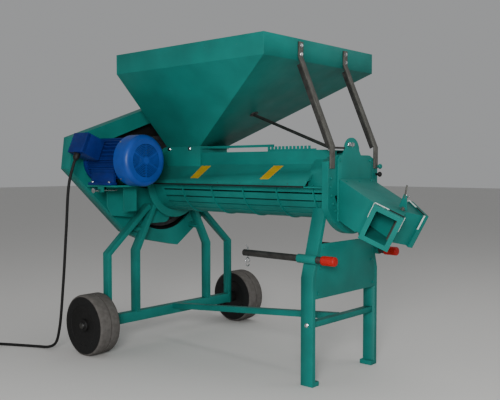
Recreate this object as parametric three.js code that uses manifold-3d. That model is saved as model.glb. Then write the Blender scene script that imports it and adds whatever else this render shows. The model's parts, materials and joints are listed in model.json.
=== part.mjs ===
import * as THREE from 'three';
import { mergeVertices } from 'three/addons/utils/BufferGeometryUtils.js';
import Module from 'manifold-3d';

const wasm = await Module();
wasm.setup();

// Almond huller, in millimetres. X runs along the drum with its zero in the plane of the right-hand legs,
// Y runs across the machine with its zero on the drum's axis, and Z runs up from the floor.

// Clearances, stock and roundness
const seatGap = 0.3;
const runningGap = 0.5;
const cutOverrun = 40;
const sheetThickness = 4;
const plateThickness = 10;
const roundSides = 24;
const pulleySides = 32;

// Drum
const drumAxisHeight = 950;
const drumLeftEnd = -1196;
const coverRightEnd = -50;
const coverTopHalfWidth = 98;
const coverTopRise = 168;
const coverFoldRise = 101;
const coverLipHalfWidth = 195;
const coverLipRise = 18;
const seamHalfWidth = 216;
const seamDrop = 5;
const hoodRadius = 160;
const cageRadius = 172;
const slatCount = 13;
const slatWidth = 33;
const slatThickness = 5;
const seamFlangeThickness = 6;
const hoopHeight = 10;
const hoopWidth = 9;
const hoopCount = 5;
const hoopPitch = 230;
const firstHoopX = -952;
const plainBandLength = 82;
const leftPlateRadius = 218;

// Right-hand end
const collarLeft = 52;
const collarRight = 89;
const collarRadius = 240;
const collarBridgeHeight = 96;
const archPlateThickness = 9;
const archHalfWidth = 145;
const archShoulderRise = 145;
const archShoulderRadius = 30;
const archFootDrop = 172;
const lugRise = 229;
const lugHalfWidth = 62;
const lugCentreY = -30;
const windowHalfWidth = 122;
const windowTopRise = 2;
const windowBottomDrop = 150;

// Rotor
const shaftRadius = 25;
const rotorDiscRadius = 78;
const rotorDiscThickness = 12;
const rotorDiscCount = 4;
const beaterTipRadius = 126;
const beaterCount = 4;
const beaterThickness = 12;
const rotorLeftEnd = -1150;
const rotorRightEnd = 20;
const bearingRadius = 44;
const bearingLength = 34;
const bearingFlangeRadius = 62;
const bearingFlangeThickness = 12;

// Hopper and neck
const rimLeft = -1172;
const rimRight = -100;
const rimHalfWidth = 460;
const rimTopRise = 705;
const rimBandDepth = 105;
const rimLipWidth = 24;
const neckLeft = -1150;
const neckRight = -870;
const neckHalfWidth = 110;
const neckTopRise = 205;
const gateRise = 193;
const gateThickness = 5;
const gateRailWidth = 9;
const gateRailHeight = 6;
const gateBarY = -60;
const gateBarThickness = 6;
const gateBarHeight = 20;
const gateBarReach = 638;
const gateBarSlopeRise = 16;
const gateBarLift = 4;
const rackLength = 225;
const rackRightX = -15;
const rackThickness = 6;
const rackHeight = 20;
const rackToothCount = 12;
const rackToothDepth = 11;
const rackY = -76;

// Stays and braces
const stayY = 190;
const stayWidth = 34;
const stayThickness = 8;
const stayTopDrop = 15;
const stayBandFoot = 1566;
const stayBendRise = 185;
const stayFootRise = 80;
const braceRadius = 8;
const braceHopperRise = 170;
const braceHopperY = 27;
const braceFootRise = 176;

// Right-hand legs
const rightLegWidth = 70;
const rightLegThickness = 22;
const rightLegOutY = 282;
const rightLegBendHeight = 515;
const rightLegTopY = 186;
const rightLegTopDrop = 108;
const rightFootLength = 52;
const crossbarHeight = 291;
const crossbarDepth = 28;
const crossbarWidth = 40;
const legPanelBottom = 415;
const legPanelTop = 675;
const legPanelThickness = 4;

// Left-hand legs, axle and wheels
const leftLegWidth = 45;
const leftLegThickness = 20;
const outerLegY = 505;
const innerLegY = 300;
const leftLegBendHeight = 553;
const leftLegTopDrop = 135;
const outerLegTopY = 205;
const innerLegTopY = 165;
const axleHeight = 168;
const axleRadius = 15;
const beamDepth = 58;
const beamWidth = 45;
const wheelRadius = 168;
const wheelDiscRadius = 108;
const wheelOuterY = 662;
const wheelWidth = 133;
const wheelGrooveWidth = 6;
const wheelGrooveDepth = 8;
const wheelDishDepth = 16;
const wheelHubRadius = 34;
const axleEndLength = 12;
const tieBarHeight = 31;
const tieBarWidth = 40;
const tieBarDrop = 104;

// Handles
const handleRadius = 16.5;
const handleWall = 3;
const handleAboveBend = 90;
const handleLeftEnd = -385;
const handleRightEnd = 150;
const sleeveWall = 4.5;
const sleeveLength = 110;
const gripRadius = 22;
const gripLength = 74;
const gripOverlap = 48;
const pinRadius = 3;
const pinReach = 30;
const pinInset = 24;

// Belt drive
const guardRight = -1310;
const guardLeft = -1395;
const guardSheet = 4;
const guardArcRadius = 428;
const guardCutRadius = 300;
const motorCutRadius = 92;
const guardReach = 678;
const guardDrop = 405;
const guardArcStart = -50;
const guardFootShares = [[-0.968, 0.62], [-1, 0.19], [-0.42, -0.736], [-0.232, -0.862], [0.171, -1]];
const guardArcEnd = 99;
const guardArcRise = 35;
const pulleyRight = -1328;
const pulleyWidth = 44;
const drumPulleyRadius = 280;
const motorPulleyRadius = 72;
const pulleyRimDepth = 26;
const pulleyWebThickness = 12;
const pulleyHubRadius = 48;
const motorPulleyHubRadius = 30;
const grooveCount = 2;
const groovePitch = 19;
const grooveMouth = 15;
const grooveFoot = 11;
const grooveDepth = 14;
const beltDepth = 9;
const beltWidth = 9.4;

// Motor
const motorAxisY = -480;
const motorAxisRise = 121;
const motorLeft = -1285;
const motorBodyRight = -992;
const motorCoreRadius = 110;
const motorFinHeight = 16;
const motorFinCount = 32;
const finFootShare = 0.5;
const finFlankShare = 0.65;
const motorShieldRadius = 127;
const motorShieldThickness = 24;
const motorShaftRadius = 14;
const motorFootDrop = 132;
const motorFootHalfSpan = 108;
const motorFootWidth = 44;
const motorFootThickness = 14;
const fanCoverRadius = 138;
const fanCoverRight = -900;
const fanCoverEdgeRadius = 26;
const fanCoverSheet = 3;
const fanRadius = 112;
const fanBladeCount = 7;
const fanBladeThickness = 5;
const fanBladeWidth = 34;
const fanSlotCount = 16;
const fanSlotWidth = 9;
const slotInnerShare = 0.25;
const slotOuterShare = 0.72;
const terminalTilt = 23;
const terminalInnerRadius = 134;
const terminalDepth = 116;
const terminalHeight = 112;
const terminalLength = 128;
const terminalX = -1185;
const terminalPadHalf = 44;
const glandRadius = 17;
const glandLength = 40;
const glandShift = 38;
const shelfThickness = 10;
const shelfRight = -1012;
const shelfHalfSpan = 128;
const bracketPlateThickness = 8;
const bracketFootDrop = 250;
const bracketInnerY = 0;
const bracketShares = [[0, 1], [0, 0.7], [0.145, 0.2], [0.55, 0.17], [0.62, 0]];
const bracketCorner = 46;
const spacerRadius = 14;
const spacerShare = 0.55;
const tensionRodRadius = 7;
const tensionRodLength = 150;
const boltHeadSides = 6;

// Chute, spouts and diverter; the fork lies in the plane of the chute's top face
const chuteHalfWidth = 139;
const chuteTopRise = 30;
const chuteSlope = 28.7;
const trunkDepth = 174;
const trunkLength = 199;
const forkDepth = 166;
const forkLipStart = 231;
const forkLipLength = 14;
const forkAngle = 65;
const spoutWidth = 136;
const collarFrameLength = 26;
const collarFrameWall = 6;
const flapThickness = 6;
const flapLength = 165;
const flapPivotInset = 20;
const flapPinRadius = 9;
const flapClearance = 6;
const leverHeight = 52;
const leverLength = 78;
const leverThickness = 6;

// Power cord
const cordRadius = 8;
const cordSides = 8;
const cordSteps = 70;
const coilTurns = 4;
const coilStepsPerTurn = 24;
const coilSides = 6;
const coilMeanRadius = 90;
const coilPitch = 17.5;
const coilLayerRise = 17.4;
const coilTail = 104;
const plugRadius = 23;
const plugPinRadius = 3;
const plugLength = 62;

// Finishes
const finishes = {
  greenPaint: { color: 0x0a7a72, roughness: 0.35, metalness: 0.1 },
  bareSteel: { color: 0x6d6f6c, roughness: 0.45, metalness: 0.9 },
  darkSteel: { color: 0x2f302e, roughness: 0.5, metalness: 0.8 },
  brightSteel: { color: 0xb9bcc0, roughness: 0.25, metalness: 1 },
  castIron: { color: 0x3a3c3d, roughness: 0.6, metalness: 0.7 },
  motorBlue: { color: 0x12408c, roughness: 0.4, metalness: 0.2 },
  fanBlue: { color: 0x1557a8, roughness: 0.35, metalness: 0.1 },
  rubberGrey: { color: 0x46433f, roughness: 0.85, metalness: 0 },
  blackRubber: { color: 0x17171a, roughness: 0.8, metalness: 0 },
  redGrip: { color: 0xb5180f, roughness: 0.45, metalness: 0 },
};

const model = new THREE.Group();

// Shape and solid helpers

const axisX = new THREE.Vector3(1, 0, 0);
const axisY = new THREE.Vector3(0, 1, 0);
const axisZ = new THREE.Vector3(0, 0, 1);
const extrusionToX = new THREE.Matrix4().makeBasis(axisY, axisZ, axisX);
const extrusionToY = new THREE.Matrix4().makeBasis(axisX, axisZ, axisY.clone().negate());
const latheToX = new THREE.Matrix4().makeBasis(axisZ, axisX, axisY);
const latheToY = new THREE.Matrix4();
const latheToZ = new THREE.Matrix4().makeBasis(axisY, axisZ, axisX);

function degrees(angle) {
  return THREE.MathUtils.degToRad(angle);
}

function polygon(points) {
  return new THREE.Shape(points.map(([u, v]) => new THREE.Vector2(u, v)));
}

function hole(shape, points) {
  shape.holes.push(new THREE.Path(points.map(([u, v]) => new THREE.Vector2(u, v))));
  return shape;
}

function circlePoints(centreU, centreV, radius, sides = roundSides) {
  return arcPoints(centreU, centreV, radius, 0, 360 - 360 / sides, sides - 1);
}

function arcPoints(centreU, centreV, radius, fromAngle, toAngle, steps) {
  const points = [];
  for (let step = 0; step <= steps; step += 1) {
    const angle = degrees(fromAngle + ((toAngle - fromAngle) * step) / steps);
    points.push([centreU + radius * Math.cos(angle), centreV + radius * Math.sin(angle)]);
  }
  return points;
}

// Moves a line of points sideways, to the left of its direction, with mitred corners
function offsetLine(points, distance, closed = false) {
  const count = points.length;
  const direction = (from, to) => {
    const length = Math.hypot(to[0] - from[0], to[1] - from[1]);
    return [(to[0] - from[0]) / length, (to[1] - from[1]) / length];
  };
  return points.map((point, index) => {
    const hasBefore = closed || index > 0;
    const hasAfter = closed || index < count - 1;
    const after = hasAfter ? direction(point, points[(index + 1) % count]) : null;
    const before = hasBefore ? direction(points[(index + count - 1) % count], point) : after;
    const next = after ?? before;
    const spread = 1 + before[0] * next[0] + before[1] * next[1];
    const normalU = -(before[1] + next[1]) / spread;
    const normalV = (before[0] + next[0]) / spread;
    return [point[0] + normalU * distance, point[1] + normalV * distance];
  });
}

// The section of a folded sheet or bent bar, thickened to the left of the line's direction
function folded(points, thickness) {
  return polygon([...points, ...offsetLine(points, thickness).reverse()]);
}

function mirrored(points) {
  return points.map(([u, v]) => [-u, v]).reverse();
}

function extrudeX(shape, fromX, toX) {
  const geometry = new THREE.ExtrudeGeometry(shape, { depth: toX - fromX, bevelEnabled: false, steps: 1 });
  return geometry.applyMatrix4(extrusionToX).translate(fromX, 0, 0);
}

function extrudeY(shape, fromY, toY) {
  const geometry = new THREE.ExtrudeGeometry(shape, { depth: toY - fromY, bevelEnabled: false, steps: 1 });
  return geometry.applyMatrix4(extrusionToY).translate(0, toY, 0);
}

function extrudeZ(shape, fromZ, toZ) {
  const geometry = new THREE.ExtrudeGeometry(shape, { depth: toZ - fromZ, bevelEnabled: false, steps: 1 });
  return geometry.translate(0, 0, fromZ);
}

function block(fromX, toX, fromY, toY, fromZ, toZ) {
  const geometry = new THREE.BoxGeometry(toX - fromX, toY - fromY, toZ - fromZ);
  return geometry.translate((fromX + toX) / 2, (fromY + toY) / 2, (fromZ + toZ) / 2);
}

// A turned solid from [radius, distance along the axis] points, given counter-clockwise
function turned(points, toAxis, sides = roundSides) {
  const closedPoints = [...points, points[0]].map(([radius, along]) => new THREE.Vector2(radius, along));
  return new THREE.LatheGeometry(closedPoints, sides).applyMatrix4(toAxis);
}

// A ring, or a disc where the bore is zero, between two places along its axis
function ringSolid(bore, radius, from, to, toAxis, sides = roundSides) {
  if (bore === 0) {
    const corners = [[0, from], [radius, from], [radius, to], [0, to]];
    const points = corners.map(([r, a]) => new THREE.Vector2(r, a));
    return new THREE.LatheGeometry(points, sides).applyMatrix4(toAxis);
  }
  return turned([[bore, from], [radius, from], [radius, to], [bore, to]], toAxis, sides);
}

function rod(from, to, radius, sides = roundSides) {
  const start = new THREE.Vector3(...from);
  const path = new THREE.Vector3(...to).sub(start);
  const geometry = new THREE.CylinderGeometry(radius, radius, path.length(), sides);
  geometry.translate(0, path.length() / 2, 0);
  geometry.applyQuaternion(new THREE.Quaternion().setFromUnitVectors(axisY, path.clone().normalize()));
  return geometry.translate(start.x, start.y, start.z);
}

function toSolid(geometry) {
  const bare = geometry.clone();
  bare.deleteAttribute('normal');
  bare.deleteAttribute('uv');
  bare.clearGroups();
  const merged = mergeVertices(bare, 1e-4);
  const vertProperties = new Float32Array(merged.attributes.position.array);
  const indices = [];
  const index = merged.index.array;
  for (let corner = 0; corner < index.length; corner += 3) {
    const [a, b, c] = [index[corner], index[corner + 1], index[corner + 2]];
    if (a !== b && b !== c && a !== c) {
      indices.push(a, b, c);
    }
  }
  const mesh = new wasm.Mesh({ numProp: 3, vertProperties, triVerts: new Uint32Array(indices) });
  return new wasm.Manifold(mesh);
}

function toGeometry(solid) {
  const mesh = solid.getMesh();
  const geometry = new THREE.BufferGeometry();
  const positions = new Float32Array(mesh.vertProperties);
  geometry.setAttribute('position', new THREE.BufferAttribute(positions, 3));
  geometry.setIndex(new THREE.BufferAttribute(new Uint32Array(mesh.triVerts), 1));
  return geometry;
}

function join(...geometries) {
  return toGeometry(geometries.map(toSolid).reduce((whole, piece) => whole.add(piece)));
}

function cut(geometry, ...tools) {
  return toGeometry(tools.map(toSolid).reduce((whole, tool) => whole.subtract(tool), toSolid(geometry)));
}

function add(name, geometry, finish) {
  const mesh = new THREE.Mesh(geometry, new THREE.MeshStandardMaterial(finishes[finish]));
  mesh.name = name;
  model.add(mesh);
  return mesh;
}

// A duct from rectangular loops, listed up its outside and then down its inside
function duct(loops) {
  const positions = [];
  for (const { left, right, near, far, height } of loops) {
    positions.push(left, near, height, right, near, height, right, far, height, left, far, height);
  }
  const indices = [];
  const sides = 4;
  loops.forEach((loop, level) => {
    const here = level * sides;
    const above = ((level + 1) % loops.length) * sides;
    for (let side = 0; side < sides; side += 1) {
      const next = (side + 1) % sides;
      indices.push(here + side, here + next, above + next, here + side, above + next, above + side);
    }
  });
  const geometry = new THREE.BufferGeometry();
  geometry.setAttribute('position', new THREE.Float32BufferAttribute(positions, 3));
  geometry.setIndex(indices);
  return geometry;
}

function rectangle(left, right, halfWidth, inset, height) {
  return {
    left: left + inset,
    right: right - inset,
    near: inset - halfWidth,
    far: halfWidth - inset,
    height,
  };
}

// Places that several pieces share

const rimTopHeight = drumAxisHeight + rimTopRise;
const neckTopHeight = drumAxisHeight + neckTopRise;
const gateHeight = drumAxisHeight + gateRise;
const stayBendHeight = drumAxisHeight + stayBendRise;
const stayFootHeight = drumAxisHeight + stayFootRise;
const braceFootHeight = drumAxisHeight + braceFootRise;
const motorAxisHeight = drumAxisHeight + motorAxisRise;
const rightLegTopHeight = drumAxisHeight - rightLegTopDrop;
const handleHeight = rightLegBendHeight + handleAboveBend;
const leftLegTopHeight = drumAxisHeight - leftLegTopDrop;
const bracketFootHeight = drumAxisHeight - bracketFootDrop;
const rimFoldHeight = rimTopHeight - rimBandDepth;
const stayTopHeight = rimTopHeight - stayTopDrop;
const braceHopperHeight = neckTopHeight + braceHopperRise;
const drumTop = drumAxisHeight + coverTopRise;
const seamHeight = drumAxisHeight - seamDrop;
const coverFoldHeight = drumAxisHeight + coverFoldRise;
const coverLipHeight = drumAxisHeight + coverLipRise;
const coverSlope = (coverFoldRise - coverLipRise) / (coverLipHalfWidth - coverTopHalfWidth);
const coverSide = [
  [seamHalfWidth, seamHeight],
  [coverLipHalfWidth, coverLipHeight],
  [coverTopHalfWidth, coverFoldHeight],
  [coverTopHalfWidth, drumTop],
];
const coverBoxSide = coverSide.slice(2);
const coverInnerEdge = offsetLine(coverSide, sheetThickness)[0][1];
const seamFlangeTop = Math.min(seamHeight, coverInnerEdge) - seatGap;
const drumInsideLeft = drumLeftEnd + seatGap;
const drumInsideRight = collarLeft - seatGap;
const leftPlateOuterX = drumLeftEnd - plateThickness;
const archPlateLeft = collarRight + seatGap;
const archPlateRight = archPlateLeft + archPlateThickness;
const terminalTurn = degrees(90 - terminalTilt);

function aboutDrumAxis(geometry) {
  return geometry.translate(0, 0, drumAxisHeight);
}

// Hopper, neck and feed gate

function hopper() {
  const inset = sheetThickness + sheetThickness / 2;
  return duct([
    rectangle(neckLeft, neckRight, neckHalfWidth, 0, neckTopHeight),
    rectangle(rimLeft, rimRight, rimHalfWidth, 0, rimFoldHeight),
    rectangle(rimLeft, rimRight, rimHalfWidth, 0, rimTopHeight),
    rectangle(rimLeft, rimRight, rimHalfWidth, rimLipWidth, rimTopHeight),
    rectangle(rimLeft, rimRight, rimHalfWidth, rimLipWidth, rimTopHeight - sheetThickness),
    rectangle(rimLeft, rimRight, rimHalfWidth, inset, rimTopHeight - sheetThickness),
    rectangle(rimLeft, rimRight, rimHalfWidth, inset, rimFoldHeight),
    rectangle(neckLeft, neckRight, neckHalfWidth, inset, neckTopHeight),
  ]);
}

const neckInnerHalf = neckHalfWidth - sheetThickness;
const gateHalfWidth = neckInnerHalf - runningGap;
const gateBottom = gateHeight - gateThickness / 2;
const gateTop = gateHeight + gateThickness / 2;

function hopperNeck() {
  const foot = coverFoldHeight - (neckHalfWidth - coverTopHalfWidth) * coverSlope;
  const top = neckTopHeight - seatGap;
  const walls = duct([
    rectangle(neckLeft, neckRight, neckHalfWidth, 0, foot),
    rectangle(neckLeft, neckRight, neckHalfWidth, 0, top),
    rectangle(neckLeft, neckRight, neckHalfWidth, sheetThickness, top),
    rectangle(neckLeft, neckRight, neckHalfWidth, sheetThickness, foot),
  ]);
  const railTop = gateBottom - runningGap;
  const railOuter = neckHalfWidth - sheetThickness / 2;
  const railInner = neckInnerHalf - gateRailWidth;
  const railLeft = neckLeft + sheetThickness / 2;
  const railRight = neckRight - sheetThickness / 2;
  const nearRail = block(railLeft, railRight, -railOuter, -railInner, railTop - gateRailHeight, railTop);
  const farRail = block(railLeft, railRight, railInner, railOuter, railTop - gateRailHeight, railTop);
  const coverLine = [...coverSide, ...mirrored(coverSide)];
  const clearOfCover = polygon(offsetLine(coverLine, -seatGap));
  const saddle = extrudeX(clearOfCover, neckLeft - cutOverrun, neckRight + cutOverrun);
  const slot = block(
    neckRight - sheetThickness - runningGap,
    neckRight + cutOverrun,
    -gateHalfWidth - runningGap / 2,
    gateHalfWidth + runningGap / 2,
    gateBottom - runningGap,
    gateTop + runningGap,
  );
  return cut(join(walls, nearRail, farRail), saddle, slot);
}

function feedGate() {
  const barLeft = neckRight + runningGap;
  const tabRight = neckRight + gateBarHeight;
  const plate = block(
    neckLeft + sheetThickness + runningGap,
    tabRight,
    -gateHalfWidth,
    gateHalfWidth,
    gateBottom,
    gateTop,
  );
  const barFoot = drumTop + gateBarLift;
  const barSide = polygon([
    [barLeft, barFoot],
    [neckRight + gateBarReach, barFoot + gateBarSlopeRise],
    [neckRight + gateBarReach, barFoot + gateBarSlopeRise + gateBarHeight],
    [barLeft, barFoot + gateBarHeight],
  ]);
  const bar = extrudeY(barSide, gateBarY - gateBarThickness / 2, gateBarY + gateBarThickness / 2);
  return join(plate, bar);
}

function gateRack() {
  const foot = drumTop + seatGap;
  const pitch = rackLength / rackToothCount;
  const outline = [[rackRightX, foot]];
  for (let tooth = 0; tooth < rackToothCount; tooth += 1) {
    const right = rackRightX - tooth * pitch;
    outline.push([right, foot + rackHeight]);
    outline.push([right - pitch / 2, foot + rackHeight]);
    outline.push([right - pitch / 2, foot + rackHeight - rackToothDepth]);
    outline.push([right - pitch, foot + rackHeight - rackToothDepth]);
  }
  outline.push([rackRightX - rackLength, foot]);
  return extrudeY(polygon(outline), rackY - rackThickness / 2, rackY + rackThickness / 2);
}

// Drum

function drumCover() {
  const section = folded([...coverSide, ...mirrored(coverSide)], sheetThickness);
  const boxSection = folded([...coverBoxSide, ...mirrored(coverBoxSide)], sheetThickness);
  const hoodFoot = seamFlangeTop + seatGap;
  const hoodArc = arcPoints(0, drumAxisHeight, hoodRadius, 0, 180, roundSides / 2);
  const hoodLine = [[hoodRadius, hoodFoot], ...hoodArc, [-hoodRadius, hoodFoot]];
  const hoodLeft = coverRightEnd - cutOverrun / 2;
  const shell = join(
    extrudeX(section, drumInsideLeft, coverRightEnd),
    extrudeX(boxSection, coverRightEnd - sheetThickness, drumInsideRight),
    extrudeX(folded(hoodLine, sheetThickness), hoodLeft, drumInsideRight),
  );
  const mouthHalf = coverTopHalfWidth - sheetThickness - gateRailWidth;
  const mouth = block(
    neckLeft + sheetThickness + gateRailWidth,
    neckRight - sheetThickness - gateRailWidth,
    -mouthHalf,
    mouthHalf,
    drumTop - sheetThickness - cutOverrun / 2,
    drumTop + cutOverrun,
  );
  return cut(shell, mouth);
}

function drumCage() {
  const facetAngle = 180 / slatCount;
  const slatOuter = cageRadius * Math.cos(degrees(facetAngle / 2));
  const bandRight = drumInsideLeft + plainBandLength;
  const ringSection = (outer, inner) => {
    const outerArc = arcPoints(0, drumAxisHeight, outer, 180, 360, slatCount);
    const innerArc = arcPoints(0, drumAxisHeight, inner, 180, 360, slatCount);
    return polygon([...outerArc, ...innerArc.reverse()]);
  };
  const pieces = [extrudeX(ringSection(cageRadius, cageRadius - slatThickness), drumInsideLeft, bandRight)];
  for (let slat = 0; slat < slatCount; slat += 1) {
    const angle = 180 + facetAngle * (slat + 1 / 2);
    const bar = block(
      bandRight - slatThickness,
      drumInsideRight,
      -slatWidth / 2,
      slatWidth / 2,
      slatOuter - slatThickness,
      slatOuter,
    );
    pieces.push(aboutDrumAxis(bar.rotateX(degrees(angle - 90))));
  }
  const hoopSection = ringSection(cageRadius + hoopHeight, cageRadius - slatThickness / 2);
  for (let hoop = 0; hoop < hoopCount; hoop += 1) {
    const centre = firstHoopX + hoop * hoopPitch;
    pieces.push(extrudeX(hoopSection, centre - hoopWidth / 2, centre + hoopWidth / 2));
  }
  const flangeFoot = seamFlangeTop - seamFlangeThickness;
  const flangeInner = slatOuter - slatThickness;
  pieces.push(
    block(drumInsideLeft, drumInsideRight, -seamHalfWidth, -flangeInner, flangeFoot, seamFlangeTop),
    block(drumInsideLeft, drumInsideRight, flangeInner, seamHalfWidth, flangeFoot, seamFlangeTop),
  );
  return join(...pieces);
}

function leftEndPlate() {
  const bore = bearingRadius + seatGap;
  return aboutDrumAxis(ringSolid(bore, leftPlateRadius, leftPlateOuterX, drumLeftEnd, latheToX, pulleySides));
}

// A flanged bearing housing; side is -1 with its flange to the left of flangeFace, 1 with it to the right
function shaftBearing(flangeFace, side) {
  const bore = shaftRadius + runningGap;
  const flangeEnd = flangeFace + side * bearingFlangeThickness;
  const bodyEnd = flangeFace - side * bearingLength;
  const profile = [
    [bore, bodyEnd],
    [bearingRadius, bodyEnd],
    [bearingRadius, flangeFace],
    [bearingFlangeRadius, flangeFace],
    [bearingFlangeRadius, flangeEnd],
    [bore, flangeEnd],
  ];
  return aboutDrumAxis(turned(side > 0 ? profile : profile.reverse(), latheToX));
}

function endCollar() {
  const flatAngle = THREE.MathUtils.radToDeg(Math.acos(seamHalfWidth / collarRadius));
  const steps = roundSides / 2;
  const outline = [
    ...arcPoints(0, drumAxisHeight, collarRadius, flatAngle, 180 - flatAngle, steps),
    ...arcPoints(0, drumAxisHeight, collarRadius, 180 + flatAngle, 360 - flatAngle, steps),
  ];
  const boreRadius = cageRadius - slatThickness;
  const section = hole(polygon(outline), circlePoints(0, drumAxisHeight, boreRadius));
  const bridgeHalf = collarBridgeHeight / 2;
  const bridge = block(
    collarLeft,
    collarRight,
    -cageRadius,
    cageRadius,
    drumAxisHeight - bridgeHalf,
    drumAxisHeight + bridgeHalf,
  );
  const boss = aboutDrumAxis(ringSolid(0, bearingFlangeRadius, collarLeft, collarRight, latheToX));
  const boreFrom = collarLeft - cutOverrun;
  const boreTo = collarRight + cutOverrun;
  const bore = aboutDrumAxis(ringSolid(0, bearingRadius + seatGap, boreFrom, boreTo, latheToX));
  return cut(join(extrudeX(section, collarLeft, collarRight), bridge, boss), bore);
}

function archedEndPlate() {
  const foot = drumAxisHeight - archFootDrop;
  const shoulder = drumAxisHeight + archShoulderRise;
  const corner = archHalfWidth - archShoulderRadius;
  const cornerHeight = shoulder - archShoulderRadius;
  const lugArcHeight = drumAxisHeight + lugRise - lugHalfWidth;
  const flare = lugHalfWidth / 4;
  const steps = roundSides / 4;
  const outline = [
    [-archHalfWidth, foot],
    [archHalfWidth, foot],
    ...arcPoints(corner, cornerHeight, archShoulderRadius, 0, 90, steps),
    [lugCentreY + lugHalfWidth + flare, shoulder],
    ...arcPoints(lugCentreY, lugArcHeight, lugHalfWidth, 0, 180, roundSides / 2),
    [lugCentreY - lugHalfWidth - flare, shoulder],
    ...arcPoints(-corner, cornerHeight, archShoulderRadius, 90, 180, steps),
  ];
  const windowTop = drumAxisHeight + windowTopRise;
  const windowFoot = drumAxisHeight - windowBottomDrop;
  const section = hole(polygon(outline), [
    [-windowHalfWidth, windowFoot],
    [windowHalfWidth, windowFoot],
    [windowHalfWidth, windowTop],
    [-windowHalfWidth, windowTop],
  ]);
  return extrudeX(section, archPlateLeft, archPlateRight);
}

// Rotor inside the drum

const shaftLeftEnd = pulleyRight - pulleyWidth - 2 * sheetThickness;

function rotorShaft() {
  return aboutDrumAxis(ringSolid(0, shaftRadius, shaftLeftEnd, collarRight - axleEndLength, latheToX));
}

function beaterRotor() {
  const bore = shaftRadius + seatGap;
  const span = rotorRightEnd - rotorLeftEnd - rotorDiscThickness;
  const pieces = [];
  for (let disc = 0; disc < rotorDiscCount; disc += 1) {
    const left = rotorLeftEnd + (span * disc) / (rotorDiscCount - 1);
    pieces.push(ringSolid(bore, rotorDiscRadius, left, left + rotorDiscThickness, latheToX));
  }
  const blade = [rotorDiscRadius - rotorDiscThickness, beaterTipRadius];
  for (let beater = 0; beater < beaterCount; beater += 1) {
    const halfThickness = beaterThickness / 2;
    const bar = block(rotorLeftEnd, rotorRightEnd, -halfThickness, halfThickness, blade[0], blade[1]);
    pieces.push(bar.rotateX(degrees((360 * beater) / beaterCount)));
  }
  return aboutDrumAxis(join(...pieces));
}

// Stays and braces from the hopper to the right-hand end

const rimFaceX = rimRight + seatGap;
const collarFaceX = collarRight + seatGap;
const hopperSideRun = (rimRight - neckRight) / (rimFoldHeight - neckTopHeight);

function hopperStay(side) {
  const line = [
    [rimFaceX, stayTopHeight],
    [rimFaceX, stayBandFoot],
    [collarFaceX, stayBendHeight],
    [collarFaceX, stayFootHeight],
  ];
  const centre = side * stayY;
  return extrudeY(folded(line, stayThickness), centre - stayWidth / 2, centre + stayWidth / 2);
}

function hopperBrace() {
  const wallX = neckRight + (braceHopperHeight - neckTopHeight) * hopperSideRun;
  const wallPoint = new THREE.Vector3(wallX, -braceHopperY, braceHopperHeight);
  const wallNormal = new THREE.Vector3(1, 0, -hopperSideRun).normalize();
  const padFrom = wallPoint.clone().addScaledVector(wallNormal, seatGap);
  const padTo = wallPoint.clone().addScaledVector(wallNormal, seatGap + sheetThickness);
  const rodStart = wallPoint.clone().addScaledVector(wallNormal, braceRadius);
  const lugRight = collarFaceX - seatGap;
  const lugLeft = lugRight - stayThickness;
  const foot = [(lugLeft + lugRight) / 2, -stayY, braceFootHeight];
  const half = stayWidth / 2;
  return join(
    rod(rodStart.toArray(), foot, braceRadius, roundSides / 2),
    rod(padFrom.toArray(), padTo.toArray(), 3 * braceRadius, roundSides / 2),
    block(lugLeft, lugRight, foot[1] - half, foot[1] + half, foot[2] - braceRadius, foot[2] + braceRadius),
  );
}

// Right-hand legs, crossbar, panel and the handle guides on the legs

const rightLegRight = collarLeft - seatGap;
const rightLegLeft = rightLegRight - rightLegWidth;
const rightLegCentre = (rightLegLeft + rightLegRight) / 2;
const rightLegLine = [
  [-rightLegTopY, rightLegTopHeight],
  [-rightLegOutY, rightLegBendHeight],
  [-rightLegOutY, 0],
  [rightFootLength - rightLegOutY, 0],
];
const sleeveBore = handleRadius + runningGap;
const sleeveRadius = sleeveBore + sleeveWall;
const rightLegLean = (rightLegOutY - rightLegTopY) / (rightLegTopHeight - rightLegBendHeight);
const rightLegYAtHandle = rightLegOutY - (handleHeight - rightLegBendHeight) * rightLegLean;
const handleY = rightLegYAtHandle + sleeveRadius - sleeveWall / 3;
const rightLegInnerLine = offsetLine(rightLegLine, rightLegThickness + seatGap);
const rightLegInnerY = -rightLegInnerLine[2][0];

function sideLine(points, side) {
  return side < 0 ? points : mirrored(points);
}

function rightLeg(side) {
  const leg = extrudeX(folded(sideLine(rightLegLine, side), rightLegThickness), rightLegLeft, rightLegRight);
  const sleeveLeft = rightLegCentre - sleeveLength / 2;
  const sleeve = ringSolid(0, sleeveRadius, sleeveLeft, sleeveLeft + sleeveLength, latheToX);
  const boreRight = sleeveLeft + sleeveLength + cutOverrun;
  const bore = ringSolid(0, sleeveBore, sleeveLeft - cutOverrun, boreRight, latheToX);
  sleeve.translate(0, side * handleY, handleHeight);
  bore.translate(0, side * handleY, handleHeight);
  return cut(join(leg, sleeve), bore);
}

function rightCrossbar() {
  return block(
    rightLegCentre - crossbarWidth / 2,
    rightLegCentre + crossbarWidth / 2,
    -rightLegInnerY,
    rightLegInnerY,
    crossbarHeight - crossbarDepth / 2,
    crossbarHeight + crossbarDepth / 2,
  );
}

function legPanel() {
  const [top, bend] = rightLegInnerLine;
  const share = (legPanelTop - bend[1]) / (top[1] - bend[1]);
  const topY = bend[0] + (top[0] - bend[0]) * share;
  const nearEdge = [[topY, legPanelTop], bend, [-rightLegInnerY, legPanelBottom]];
  const outline = polygon([...nearEdge, ...mirrored(nearEdge)]);
  return extrudeX(outline, rightLegRight - legPanelThickness, rightLegRight);
}

// Left-hand legs, axle beam, axle and wheels

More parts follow.
